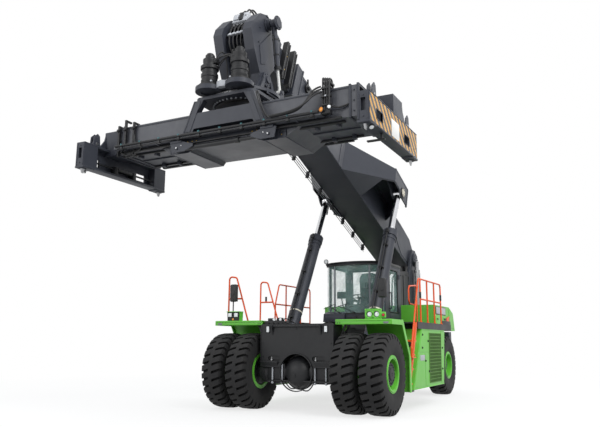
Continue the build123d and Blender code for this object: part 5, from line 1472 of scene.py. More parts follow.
    def _seat(self) -> None:
        """A crowned seat cushion, backrest, headrest and armrests on a boxed suspension."""
        place = self.layout.axle(up=self.floor)
        base = Piece("seat_base", place).use(Finish.MOULDED)
        base.box((-3.88, -3.5), (-0.17, 0.17), (0.01, 0.1), 0.02)
        for level in range(4):
            inset = 0.015 if level % 2 else 0
            base.box(
                (-3.86 + inset, -3.52 - inset), (-0.16 + inset, 0.16 - inset),
                (0.09 + 0.045 * level, 0.14 + 0.045 * level), 0.012,
            )
        base.box((-3.93, -3.46), (-0.23, 0.23), (0.27, 0.315), 0.012)
        for y in (-0.29, 0.29):
            base.box((-3.96, -3.62), about(y, 0.035), (0.56, 0.61), 0.016)
            base.rod((-3.93, y, 0.33), (-3.93, y, 0.57), 0.018)
        base.done("chassis", "cab_plastic", 0.002, replaces=["driver_seat"])
        for name, low, high, crown, lean in (
            ("seat_cushion", (-3.94, -0.255, 0.31), (-3.44, 0.255, 0.43), UP, 0),
            ("seat_back", (-3.99, -0.235, 0.42), (-3.87, 0.235, 0.95), AHEAD, -0.24),
            ("head_rest", (-4.08, -0.13, 0.93), (-3.98, 0.13, 1.09), AHEAD, -0.24),
        ):
            self._cushion(Piece(name, place), Vector(low), Vector(high), Vector(crown), lean)

    def _cushion(self, piece: Piece, low: Vector, high: Vector, crown: Vector, lean: float) -> None:
        """Add a padded form: its faces crown, its sides pull in between the corners.

        Args:
            piece: The piece, which is empty.
            low: Its lowest corner.
            high: Its highest corner.
            crown: The way its broad face looks.
            lean: How far it leans back for each metre of height.
        """
        bm = piece.bm
        centre, half = (low + high) / 2, (high - low) / 2
        bmesh.ops.create_cube(bm, size=2)
        bmesh.ops.subdivide_edges(bm, edges=bm.edges, cuts=9, use_grid_fill=True)
        flat = [axis for axis in range(3) if not crown[axis]]
        deep = next(axis for axis in range(3) if crown[axis])
        for vert in bm.verts:
            u, v = vert.co[flat[0]], vert.co[flat[1]]
            bulge = (1 - u * u) * (1 - v * v)
            seam = 0.09 * math.exp(-((abs(u if flat[0] == 1 else v) - 0.55) / 0.07) ** 2)  # sewn channels
            scale = 0.62 + 0.38 * bulge**0.5 - seam
            vert.co[deep] *= scale
            for axis, other in ((flat[0], v), (flat[1], u)):
                vert.co[axis] *= 1 - 0.035 * (1 - other * other) * abs(vert.co[axis])
            vert.co = Vector([c * h for c, h in zip(vert.co, half)]) + centre
            vert.co.x += lean * (vert.co.z - low.z)
        thing = piece.use(Finish.SEAT).done("chassis", "cab_plastic")
        soft = thing.modifiers.new("soft", "SUBSURF")
        soft.levels = soft.render_levels = 1

    def _controls(self) -> None:
        """A steering wheel, a dash hood, a screen, pedals, levers and a floor mat."""
        piece = Piece("cab_controls", self.layout.axle(up=self.floor)).use(Finish.MOULDED)
        piece.box((-3.24, -3.03), (-0.3, 0.3), (0.01, 0.4), 0.03)
        piece.plate(((-3.27, 0.38), (-3.03, 0.36), (-3.03, 0.42), (-3.22, 0.47)), "y", -0.31, 0.31)
        column, lean = Vector((-3.18, 0, 0.38)), Vector((-0.41, 0, 0.91))
        piece.rod(column, column + lean * 0.27, 0.042, 0.03)
        hub = column + lean * 0.28
        piece.knob(((-0.02, 0.05), (0.012, 0.055), (0.02, 0.04)), hub, lean)
        rim = [
            (0.014 * math.sin(math.tau * k / 8), 0.178 + 0.014 * math.cos(math.tau * k / 8)) for k in range(8)
        ]
        piece.lathe(rim, hub, lean, 40)
        side, up = Vector(LEFT), lean.cross(Vector(LEFT))
        for direction in (side, -side, -up):
            piece.rod(hub, hub + direction * 0.17, 0.014, 0.01)
        # monitor on a stalk, and a lever box beside the seat
        piece.rod((-3.1, -0.36, 0.36), (-3.16, -0.46, 0.66), 0.014)
        piece.box((-3.2, -3.16), (-0.58, -0.34), (0.62, 0.8), 0.012)
        for y in (-0.4, 0.38):
            piece.box((-3.85, -3.4), about(y, 0.07), (0.01, 0.5), 0.02)
            piece.rod((-3.47, y, 0.49), (-3.45, y, 0.62), 0.01)
            piece.knob(((0, 0.014), (0.03, 0.024), (0.07, 0.022), (0.085, 0.012)), (-3.45, y, 0.6), UP, 16)
        for y in (-0.18, 0.18):
            piece.plate(
                ((-3.29, 0.04), (-3.25, 0.18), (-3.235, 0.18), (-3.275, 0.04)), "y", y - 0.045, y + 0.045
            )
        piece.use(Finish.HOSE).box((-4.2, -3.02), (-0.66, 0.66), (0.0005, 0.01), 0.002)
        piece.use(Finish.SCREEN).box((-3.206, -3.199), (-0.565, -0.355), (0.635, 0.785), 0.002)
        piece.done("chassis", "cab_plastic", 0.0015, replaces=["control_console"])

    def _door(self) -> None:
        """Gasket, latch and lower crease of the door, which ride on it."""
        y = self.half
        piece = Piece("door_trim", self.layout.axle()).use(Finish.MOULDED)
        low, high = -4.118, -3.452
        for z in (2.185, 3.29):
            piece.box((low, high), (y - 0.03, y + 0.005), (z, z + 0.022), 0.004)
        for x in (low, high - 0.022):
            piece.box((x, x + 0.022), (y - 0.03, y + 0.005), (2.185, 3.31), 0.004)
        piece.box((high + 0.012, high + 0.052), (y - 0.002, y + 0.012), (2.2, 2.24), 0.006)
        piece.use(Finish.ANTHRACITE).box((low, high), (y - 0.002, y + 0.008), (2.0, 2.15), 0.006)
        piece.done("cab_door", "cab_plastic", 0.0015)


# ---------------------------------------------------------------- boom and cylinders
@dataclass
class Boom:
    """Seams, wings' pin covers, hoses and clamps along the booms, in boom coordinates."""

    layout: Layout
    half: float = 0.42
    length: float = 8.3
    bottom: float = -0.33
    top_rear: float = 0.6
    top_front: float = 0.42
    eye: tuple[float, float] = (3.27, 0.3)
    wing_half: float = 1.196

    def build(self) -> None:
        """Make the booms' pieces."""
        self._base()
        self._runs()
        self._wings()
        self._inner()

    def _top(self, along: float) -> float:
        """The height of the base boom's top at a place along it."""
        return self.top_rear + (self.top_front - self.top_rear) * (along - 1.2) / (self.length - 1.2)

    def _base(self) -> None:
        """Chord seams, doublers, pivot bosses and the collar's bolts."""
        piece = Piece("boom_seams", self.layout.boom()).use(Finish.ANTHRACITE)
        y = self.half
        piece.plate(((1.2, 0.52), (8.03, 0.347), (8.03, 0.375), (1.2, 0.548)), "y", y - 0.002, y + 0.007)
        piece.plate(((0.3, -0.315), (8.03, -0.315), (8.03, -0.285), (0.3, -0.285)), "y", y - 0.002, y + 0.007)
        piece.plate(
            ((-0.3, -0.22), (0.9, -0.26), (1.5, 0), (1.5, 0.3), (0.6, 0.46), (-0.22, 0.24)), "y", y - 0.002,
            y + 0.012,
        )
        piece.ring((0, 0, 0), LEFT, 0.112, 0.3, y, y + 0.032)
        for along in (5.7, 6.9):
            piece.box((along, along + 0.012), (y - 0.001, y + 0.01), (-0.285, self._top(along) - 0.06), 0.002)
        # collar: upper and lower lips, bolts and grease nipples
        piece.box((8.02, 8.06), (0, y + 0.045), (self.top_front + 0.02, self.top_front + 0.075), 0.008)
        piece.box((8.02, 8.05), (y + 0.028, y + 0.045), (-0.34, 0.47), 0.006)
        piece.box((8.27, 8.306), (y + 0.028, y + 0.045), (-0.34, 0.47), 0.006)
        for across in (0.08, 0.24):
            piece.bolt((8.15, across, self.top_front + 0.06), UP, 0.02, 0.016)
            piece.bolt((8.15, across, self.bottom - 0.03), DOWN, 0.02, 0.016)
        piece.mirrored().done("boom", "anthracite_paint", 0.003)
        # ring, knob and clamp on the side near the collar
        stud = Piece("boom_side_clamp", self.layout.boom()).use(Finish.BLACK)
        stud.ring((7.74, 0, 0.26), LEFT, 0.05, 0.095, y, y + 0.05)
        stud.knob(((y, 0.04), (y + 0.08, 0.04), (y + 0.1, 0.02)), (7.74, 0, 0.26), LEFT)
        stud.rod((7.74, y + 0.03, 0.33), (7.8, y + 0.03, 0.47), 0.02)
        stud.mirrored().done("boom", "black_paint", 0.003)

    def _runs(self) -> None:
        """Pipes under the right edge of the boom and hoses on its top, with their clamps."""
        steel = Piece("boom_pipes", self.layout.boom()).use(Finish.GREY)
        for number in range(3):
            y, n = -0.45 - 0.012 * number, -0.36 - 0.055 * number
            steel.rod((1.6, y, n), (7.95, y, n), 0.009, sides=10)
        steel.use(Finish.BLACK)
        for number in range(9):
            along = 1.75 + 0.76 * number
            steel.box(about(along, 0.022), (-0.495, -0.41), (-0.5, -0.318), 0.006)
        steel.done("boom", "bare_steel", 0.0015)
        runs = []
        for number in range(4):
            y = -0.14 + 0.055 * number
            runs.append((
                (-0.1, y, 0.36), (0.1, y, 0.52), (0.5, y, 0.64), (1.2, y, 0.628), (4.0, y, 0.557),
                (7.0, y, 0.481), (7.9, y, 0.46),
            ))
        hoses("boom_top_hoses", runs, 0.019, "boom", self.layout.boom())
        clamps = Piece("boom_top_clamps", self.layout.boom()).use(Finish.BLACK)
        for along in (1.3, 2.2, 3.1, 4.0, 4.9, 5.8, 6.7, 7.6):
            z = self._top(along)
            clamps.box(about(along, 0.025), (-0.18, 0.065), (z - 0.004, z + 0.055), 0.008)
            clamps.bolt((along, -0.058, z + 0.055), UP, 0.016, 0.012)
        clamps.done("boom", "black_paint", 0.002)

    def _wings(self) -> None:
        """Pale covers on the lift pins, edge flanges on the wings and bolts round them."""
        s, n = self.eye
        y = self.wing_half
        piece = Piece("wing_covers", self.layout.boom()).use(Finish.CREAM)
        piece.knob(((y - 0.002, 0.108), (y + 0.01, 0.104), (y + 0.013, 0.04)), (s, 0, n), LEFT, 36)
        piece.use(Finish.BLACK).bolts((s, y + 0.009, n), LEFT, 0.082, 6, 0.013, 0.01)
        piece.ring((s, 0, n), LEFT, 0.118, 0.15, y - 0.022, y - 0.004)
        piece.use(Finish.ANTHRACITE)
        outer = y - 0.02
        piece.plate(((2.9, 0.6), (3.89, 0.6), (3.93, 0.645), (2.88, 0.645)), "y", outer - 0.05, outer + 0.006)
        piece.plate(((2.88, 0.08), (2.93, 0.08), (2.93, 0.62), (2.88, 0.62)), "y", outer - 0.03, outer + 0.01)
        piece.plate(((2.33, 0.41), (2.9, 0.96), (2.92, 0.94), (2.35, 0.4)), "z", 0.06, 0.615)
        # sill between the boom's top edge and the wing's sheet
        piece.box((2.33, 4.27), (0.402, 0.4185), (0.49, 0.622))
        piece.mirrored().done("boom", "anthracite_paint", 0.003)

    def _inner(self) -> None:
        """Slanted hose trays with pipes, beside the inner boom just ahead of the collar."""
        tray = Piece("inner_boom_trays", self.layout.boom()).use(Finish.BLACK)
        for foot, out in ((8.42, 0.5), (8.7, 0.485)):
            outline = (
                (foot, -0.3), (foot + 0.13, -0.3), (foot + 0.17, 0.5), (foot + 0.13, 0.56),
                (foot + 0.04, 0.56),
            )
            tray.plate(outline, "y", 0.372, out - 0.03)
            for step in (0, 0.105):
                lip = ((0, -0.31), (0.025, -0.31), (0.065, 0.57), (0.04, 0.57))
                lip = [(foot + step + s, n) for s, n in lip]
                tray.plate(lip, "y", 0.372, out)
            for step in (0.05, 0.082):
                tray.rod(
                    (foot + step, out - 0.02, -0.34), (foot + step + 0.035, out - 0.02, 0.6), 0.012, sides=10
                )
            tray.knob(((0, 0.03), (0.018, 0.03), (0.022, 0.018)), (foot + 0.08, out - 0.032, 0.3), LEFT, 16)
        tray.use(Finish.BRASS)
        for along, across in ((8.5, 0.05), (8.79, 0.22), (8.78, -0.12)):
            tray.bolt((along, 0.47, across), LEFT, 0.014, 0.012)
        tray.mirrored().done("inner_boom", "black_paint", 0.0015)


@dataclass
class BoomHead:
    """Valve manifold, looping hoses, clamps and shaft covers on the boom's head, in boom coordinates."""

    layout: Layout
    shaft: tuple[float, float] = (9.6, 0.3)
    arm_half: float = 0.43
    shaft_half: float = 0.67

    def build(self) -> None:
        """Make the head's pieces."""
        place = self.layout.boom()
        s, n = self.shaft
        head = Piece("head_fittings", place).use(Finish.ANTHRACITE)
        end = self.shaft_half
        head.knob(
            ((end - 0.01, 0.14), (end + 0.01, 0.14), (end + 0.014, 0.1), (end + 0.03, 0.095)), (s, 0, n),
            LEFT, 36,
        )
        head.bolts((s, end + 0.01, n), LEFT, 0.118, 8, 0.012, 0.012)
        head.ring((s, 0, n), LEFT, 0.1, 0.135, self.arm_half, self.arm_half + 0.03)
        # crease down the arm's side and a lip round its back edge
        head.plate(
            ((9.3, 0.25), (9.42, 0.28), (9.68, -0.3), (9.5, -0.62), (9.36, -0.5)), "y", self.arm_half - 0.001,
            self.arm_half + 0.012,
        )
        head.plate(
            ((9.1, 0.36), (9.42, 0.44), (9.7, 0.462), (9.7, 0.49), (9.4, 0.47), (9.08, 0.39)), "y", 0.22,
            self.arm_half + 0.012,
        )
        head.bolt((9.8, self.arm_half, 0.05), LEFT, 0.02, 0.014)
        head.bolt((9.72, self.arm_half, -0.25), LEFT, 0.02, 0.014)
        head.mirrored().done("inner_boom", "anthracite_paint", 0.003)
        self._manifold(place)

    def _manifold(self, place: Matrix) -> None:
        """The valve block between the arms, its fittings, and the hoses to and from it.

        Args:
            place: The boom's placement.
        """
        block = Piece("head_manifold", place).use(Finish.BLACK)
        block.box((9.45, 9.86), (-0.225, 0.225), (0.13, 0.19), 0.01)
        block.use(Finish.PALE).box((9.76, 9.94), (-0.165, 0.165), (0.2, 0.42), 0.012)
        block.box((9.8, 9.97), (-0.13, -0.03), (0.24, 0.38), 0.01)
        block.use(Finish.BLACK).box((9.8, 9.975), (0, 0.07), (0.22, 0.4), 0.01)
        places = (-0.13, -0.045, 0.045, 0.13)
        block.use(Finish.STEEL)
        for y in places:
            block.rod((9.85, y, 0.41), (9.84, y, 0.48), 0.021, sides=12)
            block.rod((9.88, y, 0.21), (9.9, y, 0.13), 0.021, sides=12)
            block.bolt((9.94, y, 0.33), AHEAD, 0.014, 0.02)
        block.use(Finish.PALE).box((9.9, 9.945), (-0.185, 0.185), (-0.135, -0.095), 0.008)
        for y in places:
            block.box((9.895, 9.955), about(y, 0.028), (-0.142, -0.088), 0.008)
        block.use(Finish.BLACK).rod((9.9, -0.235, -0.115), (9.9, 0.235, -0.115), 0.014)
        block.done("inner_boom", "black_paint", 0.002)
        loops, drops = [], []
        for number, y in enumerate(places):
            rise = 0.605 + 0.022 * (number % 3)
            loops.append((
                (9.84, y, 0.45), (9.84, y, rise), (9.7, y + 0.02, rise + 0.035),
                (9.5, y + 0.02, rise - 0.01), (9.3, y, 0.5), (9.1, y, 0.375),
            ))
            drops.append((
                (9.9, y, 0.14), (9.95, y, 0.02), (9.93, y, -0.11), (9.9, y, -0.3), (9.72, 0.9 * y, -0.42),
                (9.62, 0.7 * y, -0.6),
            ))
        hoses("head_hose_loops", loops, 0.017, "inner_boom", place)
        hoses("head_hose_drops", drops, 0.017, "inner_boom", place)


@dataclass
class Cylinders:
    """Gland rings, pipes, clamps and bands on the lift and tilt cylinders, each in its own line."""

    layout: Layout
    lift_y: float = 1.04
    barrel_r: float = 0.16
    barrel_end: float = 3.56
    band_at: float = 1.18
    tilt_y: float = 0.58

    def build(self) -> None:
        """Make the cylinders' pieces."""
        piece = Piece("lift_barrel_fittings").use(Finish.ANTHRACITE)
        for _, sign in SIDES:
            part = Piece("part", self.layout.lift(sign * self.lift_y))
            self._lift(part)
            part.bm.transform(part.place)
            mesh = bpy.data.meshes.new("part")
            part.bm.to_mesh(mesh)
            part.bm.free()
            piece.finishes = part.finishes
            piece.bm.from_mesh(mesh)
            bpy.data.meshes.remove(mesh)
        piece.done("lift_barrels", "anthracite_paint", 0.002)
        runs = []
        for _, sign in SIDES:
            y = sign * self.lift_y
            place = self.layout.lift(y)
            for step in (-0.04, 0.04):
                run = (
                    (0.35, -0.05, -0.17), (0.2, -0.12, -0.2), (0.02, -0.16, -0.16), (-0.18, -0.16, 0.02),
                    (-0.2, -0.12, 0.2),
                )
                runs.append([place @ Vector((a, sign * (b + step) * -1, c)) for a, b, c in run])
        hoses("lift_foot_hoses", runs, 0.018, "chassis")
        tilt = Piece("tilt_barrel_fittings").use(Finish.GREY)
        for _, sign in SIDES:
            place = self.layout.tilt(sign * self.tilt_y)
            run, up = place.to_3x3() @ Vector(AHEAD), place.to_3x3() @ Vector(UP)
            at = place.translation
            tilt.use(Finish.BLACK).ring(at, run, 0.05, 0.068, 0.845, 0.905)
            tilt.ring(at, run, 0.05, 0.06, 0.3, 0.325)
            tilt.ring(at, run, 0.05, 0.06, 0.6, 0.625)
            tilt.rod(at + run * 0.22 + up * 0.075, at + run * 0.84 + up * 0.075, 0.011, sides=10)
            for along in (0.24, 0.82):
                tilt.rod(at + run * along + up * 0.045, at + run * along + up * 0.085, 0.018, sides=12)
        tilt.done("tilt_barrels", "anthracite_paint", 0.0015)

    def _lift(self, part: Piece) -> None:
        """Shape one lift barrel's fittings along +X from its foot.

        Args:
            part: The piece, in the barrel's own place.
        """
        r, end = self.barrel_r, self.barrel_end
        axis = AHEAD
        part.use(Finish.CREAM).ring((0, 0, 0), axis, r - 0.004, r + 0.005, self.band_at, self.band_at + 0.035)
        part.use(Finish.BLACK).bolts((end - 0.012, 0, 0), axis, r, 12, 0.016, 0.02)
        part.ring((0, 0, 0), axis, 0.088, 0.125, end - 0.005, end + 0.02)
        part.use(Finish.ANTHRACITE).ring((0, 0, 0), axis, r - 0.004, r + 0.014, end - 0.3, end - 0.25)
        part.ring((0, 0, 0), axis, r - 0.004, r + 0.012, 0.255, 0.3)
        # pipe from the foot block up to the gland, on clamps, with two slim cable lines
        part.box((0.3, 0.5), (-0.07, 0.07), (-0.235, -0.13), 0.015)
        part.use(Finish.BLACK).rod((0.48, 0, -0.205), (end - 0.15, 0, -0.205), 0.022, sides=14)
        part.box((end - 0.19, end - 0.08), (-0.045, 0.045), (-0.24, -0.17), 0.012)
        part.use(Finish.HOSE).rod((0.5, 0.055, -0.183), (end - 0.4, 0.055, -0.183), 0.01, sides=10)
        for number in range(4):
            along = 0.95 + 0.68 * number
            part.use(Finish.BLACK).box(about(along, 0.025), (-0.045, 0.075), (-0.228, -0.15), 0.01)


# ---------------------------------------------------------------- rotator and spreader
@dataclass
class Rotator:
    """Swing motors' stages and caps, bolts and hoses, and the yoke's flares."""

    layout: Layout
    plate_z: float = 6.02
    motor_ahead: float = 0.68
    motor_y: float = 0.33
    ear_y: float = 0.488
    pin_z: float = 0.28  # above the plate

    def build(self) -> None:
        """Make the rotator's pieces."""
        piece = Piece("yoke_fittings", self.layout.load(up=self.plate_z)).use(Finish.ANTHRACITE)
        # rounded cheeks that carry the plate out to each motor, and lips round the plate
        piece.ring((self.motor_ahead, self.motor_y, 0), UP, 0.15, 0.255, -0.075, 0.012)
        piece.plate(((-0.45, 0.655), (0.26, 0.655), (0.26, 0.67), (-0.45, 0.67)), "z", -0.1, 0.012)
        piece.knob(
            (
                (self.ear_y + 0.022, 0.15), (self.ear_y + 0.036, 0.145), (self.ear_y + 0.04, 0.075),
                (self.ear_y + 0.07, 0.07),
            ),
            (0, 0, self.pin_z), LEFT, 36,
        )
        piece.bolts((0, self.ear_y + 0.034, self.pin_z), LEFT, 0.115, 8, 0.014, 0.014)
        low, high = self.pin_z - 0.02, self.pin_z + 0.02
        for rib in (
            ((-0.3, 0), (-0.16, 0), (-0.1, low), (-0.14, high)),
            ((0.16, 0), (0.3, 0), (0.14, high), (0.1, low)),
        ):
            piece.plate(rib, "y", self.ear_y, self.ear_y + 0.05)
        piece.use(Finish.PALE).box((0.36, 0.44), (0.05, 0.2), (-0.002, 0.1), 0.012)
        piece.use(Finish.BRASS).bolt((0.34, 0.13, 0.06), (-1, 0, 0), 0.025, 0.03)
        piece.mirrored()
        piece.use(Finish.STEEL).bolts((0, 0, 0), UP, 0.56, 36, 0.017, 0.016)
        piece.done("rotator", "anthracite_paint", 0.003)
        self._motors()
        self._valve()

    def _motors(self) -> None:
        """Two stacked gearboxes and motors with dark caps and a small pale fitting, and the hoses between
        them.
        """
        y, place = self.motor_y, self.layout.load(self.motor_ahead, self.plate_z)
        piece = Piece("motor_stages", place).use(Finish.BLACK)
        profile = (
            (0, 0.205), (0.055, 0.205), (0.07, 0.15), (0.1, 0.15), (0.115, 0.158), (0.155, 0.158),
            (0.165, 0.148), (0.21, 0.148), (0.22, 0.16), (0.28, 0.16), (0.29, 0.143), (0.36, 0.143),
            (0.37, 0.172), (0.435, 0.172), (0.445, 0.128), (0.5, 0.124), (0.52, 0.132), (0.575, 0.132),
            (0.6, 0.092), (0.66, 0.088),
        )
        piece.knob(profile, (0, y, 0), UP, 36)
        piece.bolts((0, y, 0.055), UP, 0.18, 16, 0.013, 0.016)
        piece.bolts((0, y, 0.435), UP, 0.152, 12, 0.011, 0.014)
        piece.box((-0.06, 0.06), (y - 0.175, y - 0.1), (0.47, 0.57), 0.015)
        piece.knob(((0.655, 0.07), (0.69, 0.066), (0.705, 0.04)), (0, y, 0), UP)
        piece.use(Finish.PALE).bolt((0.1, y - 0.12, 0.1), AHEAD, 0.02, 0.03)
        piece.mirrored().done("rotator", "black_paint", 0.003, replaces=["swing_motors"])
        runs = []
        for number in range(4):
            out, rise = 0.06 - 0.07 * number, 0.5 + 0.03 * (number % 2)
            runs.append((
                (out, 0.24, rise - 0.05), (out, 0.15, rise + 0.06 + 0.02 * number),
                (out - 0.03, 0, rise + 0.09 + 0.03 * number), (out, -0.17, rise + 0.05),
                (out, -0.24, rise - 0.08),
            ))
        for sign in (1, -1):
            runs.append((
                (0, sign * (y - 0.12), 0.55), (-0.02, sign * (y - 0.2), 0.75), (-0.2, 0.1 * sign, 0.7),
                (-0.28, 0.12 * sign, 0.3), (-0.29, 0.12 * sign, 0.08),
            ))
        hoses("motor_hoses", runs, 0.011, "rotator", place)

    def _valve(self) -> None:
        """A pale valve on a dark foot between the motors, with three steel fittings."""
        lump = Piece("swing_valve", self.layout.load(up=self.plate_z)).use(Finish.PALE)
        lump.plate(((0.6, -0.13), (0.78, -0.1), (0.82, 0), (0.78, 0.09), (0.6, 0.13)), "z", -0.05, 0.07)
        lump.use(Finish.BLACK).box((0.56, 0.66), (-0.17, 0.17), (-0.06, 0.03), 0.02)
        for y in (-0.07, 0, 0.07):
            lump.use(Finish.STEEL).rod((0.7, y, 0.06), (0.7, y, 0.11), 0.018, sides=12)
        lump.done("rotator", "bare_steel", 0.006)


@dataclass
class SlewFrame:
    """Flanges on the legs, the ring's lower bolts, foot plates and hoses down one leg."""

    layout: Layout
    reach: float = 0.7
    top_z: float = 5.82
    foot_z: float = 5.19
    leg_top: float = 0.62
    leg_foot: float = 0.86

    def build(self) -> None:
        """Make the slew frame's pieces."""
        place = self.layout.load()
        piece = Piece("slew_frame_flanges", place).use(Finish.ANTHRACITE)
        for level in (-1, 1):
            face = level * self.reach
            # outer flange of the leg, a raised strip inside it, and the foot's pad
            outer = (
                (self.leg_top - 0.005, self.top_z), (self.leg_top + 0.025, self.top_z),
                (self.leg_foot + 0.025, self.foot_z + 0.03), (self.leg_foot - 0.005, self.foot_z + 0.03),
            )
            piece.plate(outer, "x", face - level * 0.16, face + level * 0.006)
            near, far = sorted((face, face + level * 0.01))
            strip = (
                (self.leg_top - 0.135, self.top_z - 0.01), (self.leg_top - 0.035, self.top_z - 0.01),
                (self.leg_foot - 0.05, self.foot_z + 0.05), (self.leg_foot - 0.15, self.foot_z + 0.05),
            )
            piece.plate(strip, "x", near - 0.001, far)
            piece.box(about(face, 0.02), (0, 0.7), (self.foot_z + 0.005, self.foot_z + 0.03), 0.004)
        piece.mirrored()
        piece.use(Finish.PALE).bolts((0, 0, self.top_z), DOWN, 0.57, 40, 0.02, 0.024)
        piece.use(Finish.BLACK).ring((0, 0, self.top_z), UP, 0.42, 0.52, -0.03, 0.002)
        piece.done("slew_frame", "anthracite_paint", 0.003)
        gear = Piece("slew_ring_teeth", place).use(Finish.STEEL)
        gear.ring((0, 0, 5.885), UP, 0.6, 0.628, 0, 0.055)
        for number in range(72):
            turn = math.tau * number / 72
            cosine, sine = math.cos(turn), math.sin(turn)
            gear.rod(
                (0.628 * cosine, 0.628 * sine, 5.887), (0.628 * cosine, 0.628 * sine, 5.938), 0.012, sides=6
            )
        gear.done("slew_frame", "bare_steel")
        front = self.reach + 0.03
        leg = [
            (front, self.leg_top + 0.1, 5.78), (front + 0.01, self.leg_top + 0.13, 5.66),
            (front + 0.01, 0.8, 5.5), (front, 0.88, 5.32), (front - 0.02, 0.94, 5.24),
        ]
        runs = [[(a, b + 0.035 * number, c) for a, b, c in leg] for number in range(2)]
        hoses("slew_leg_hoses", runs, 0.013, "slew_frame", place)


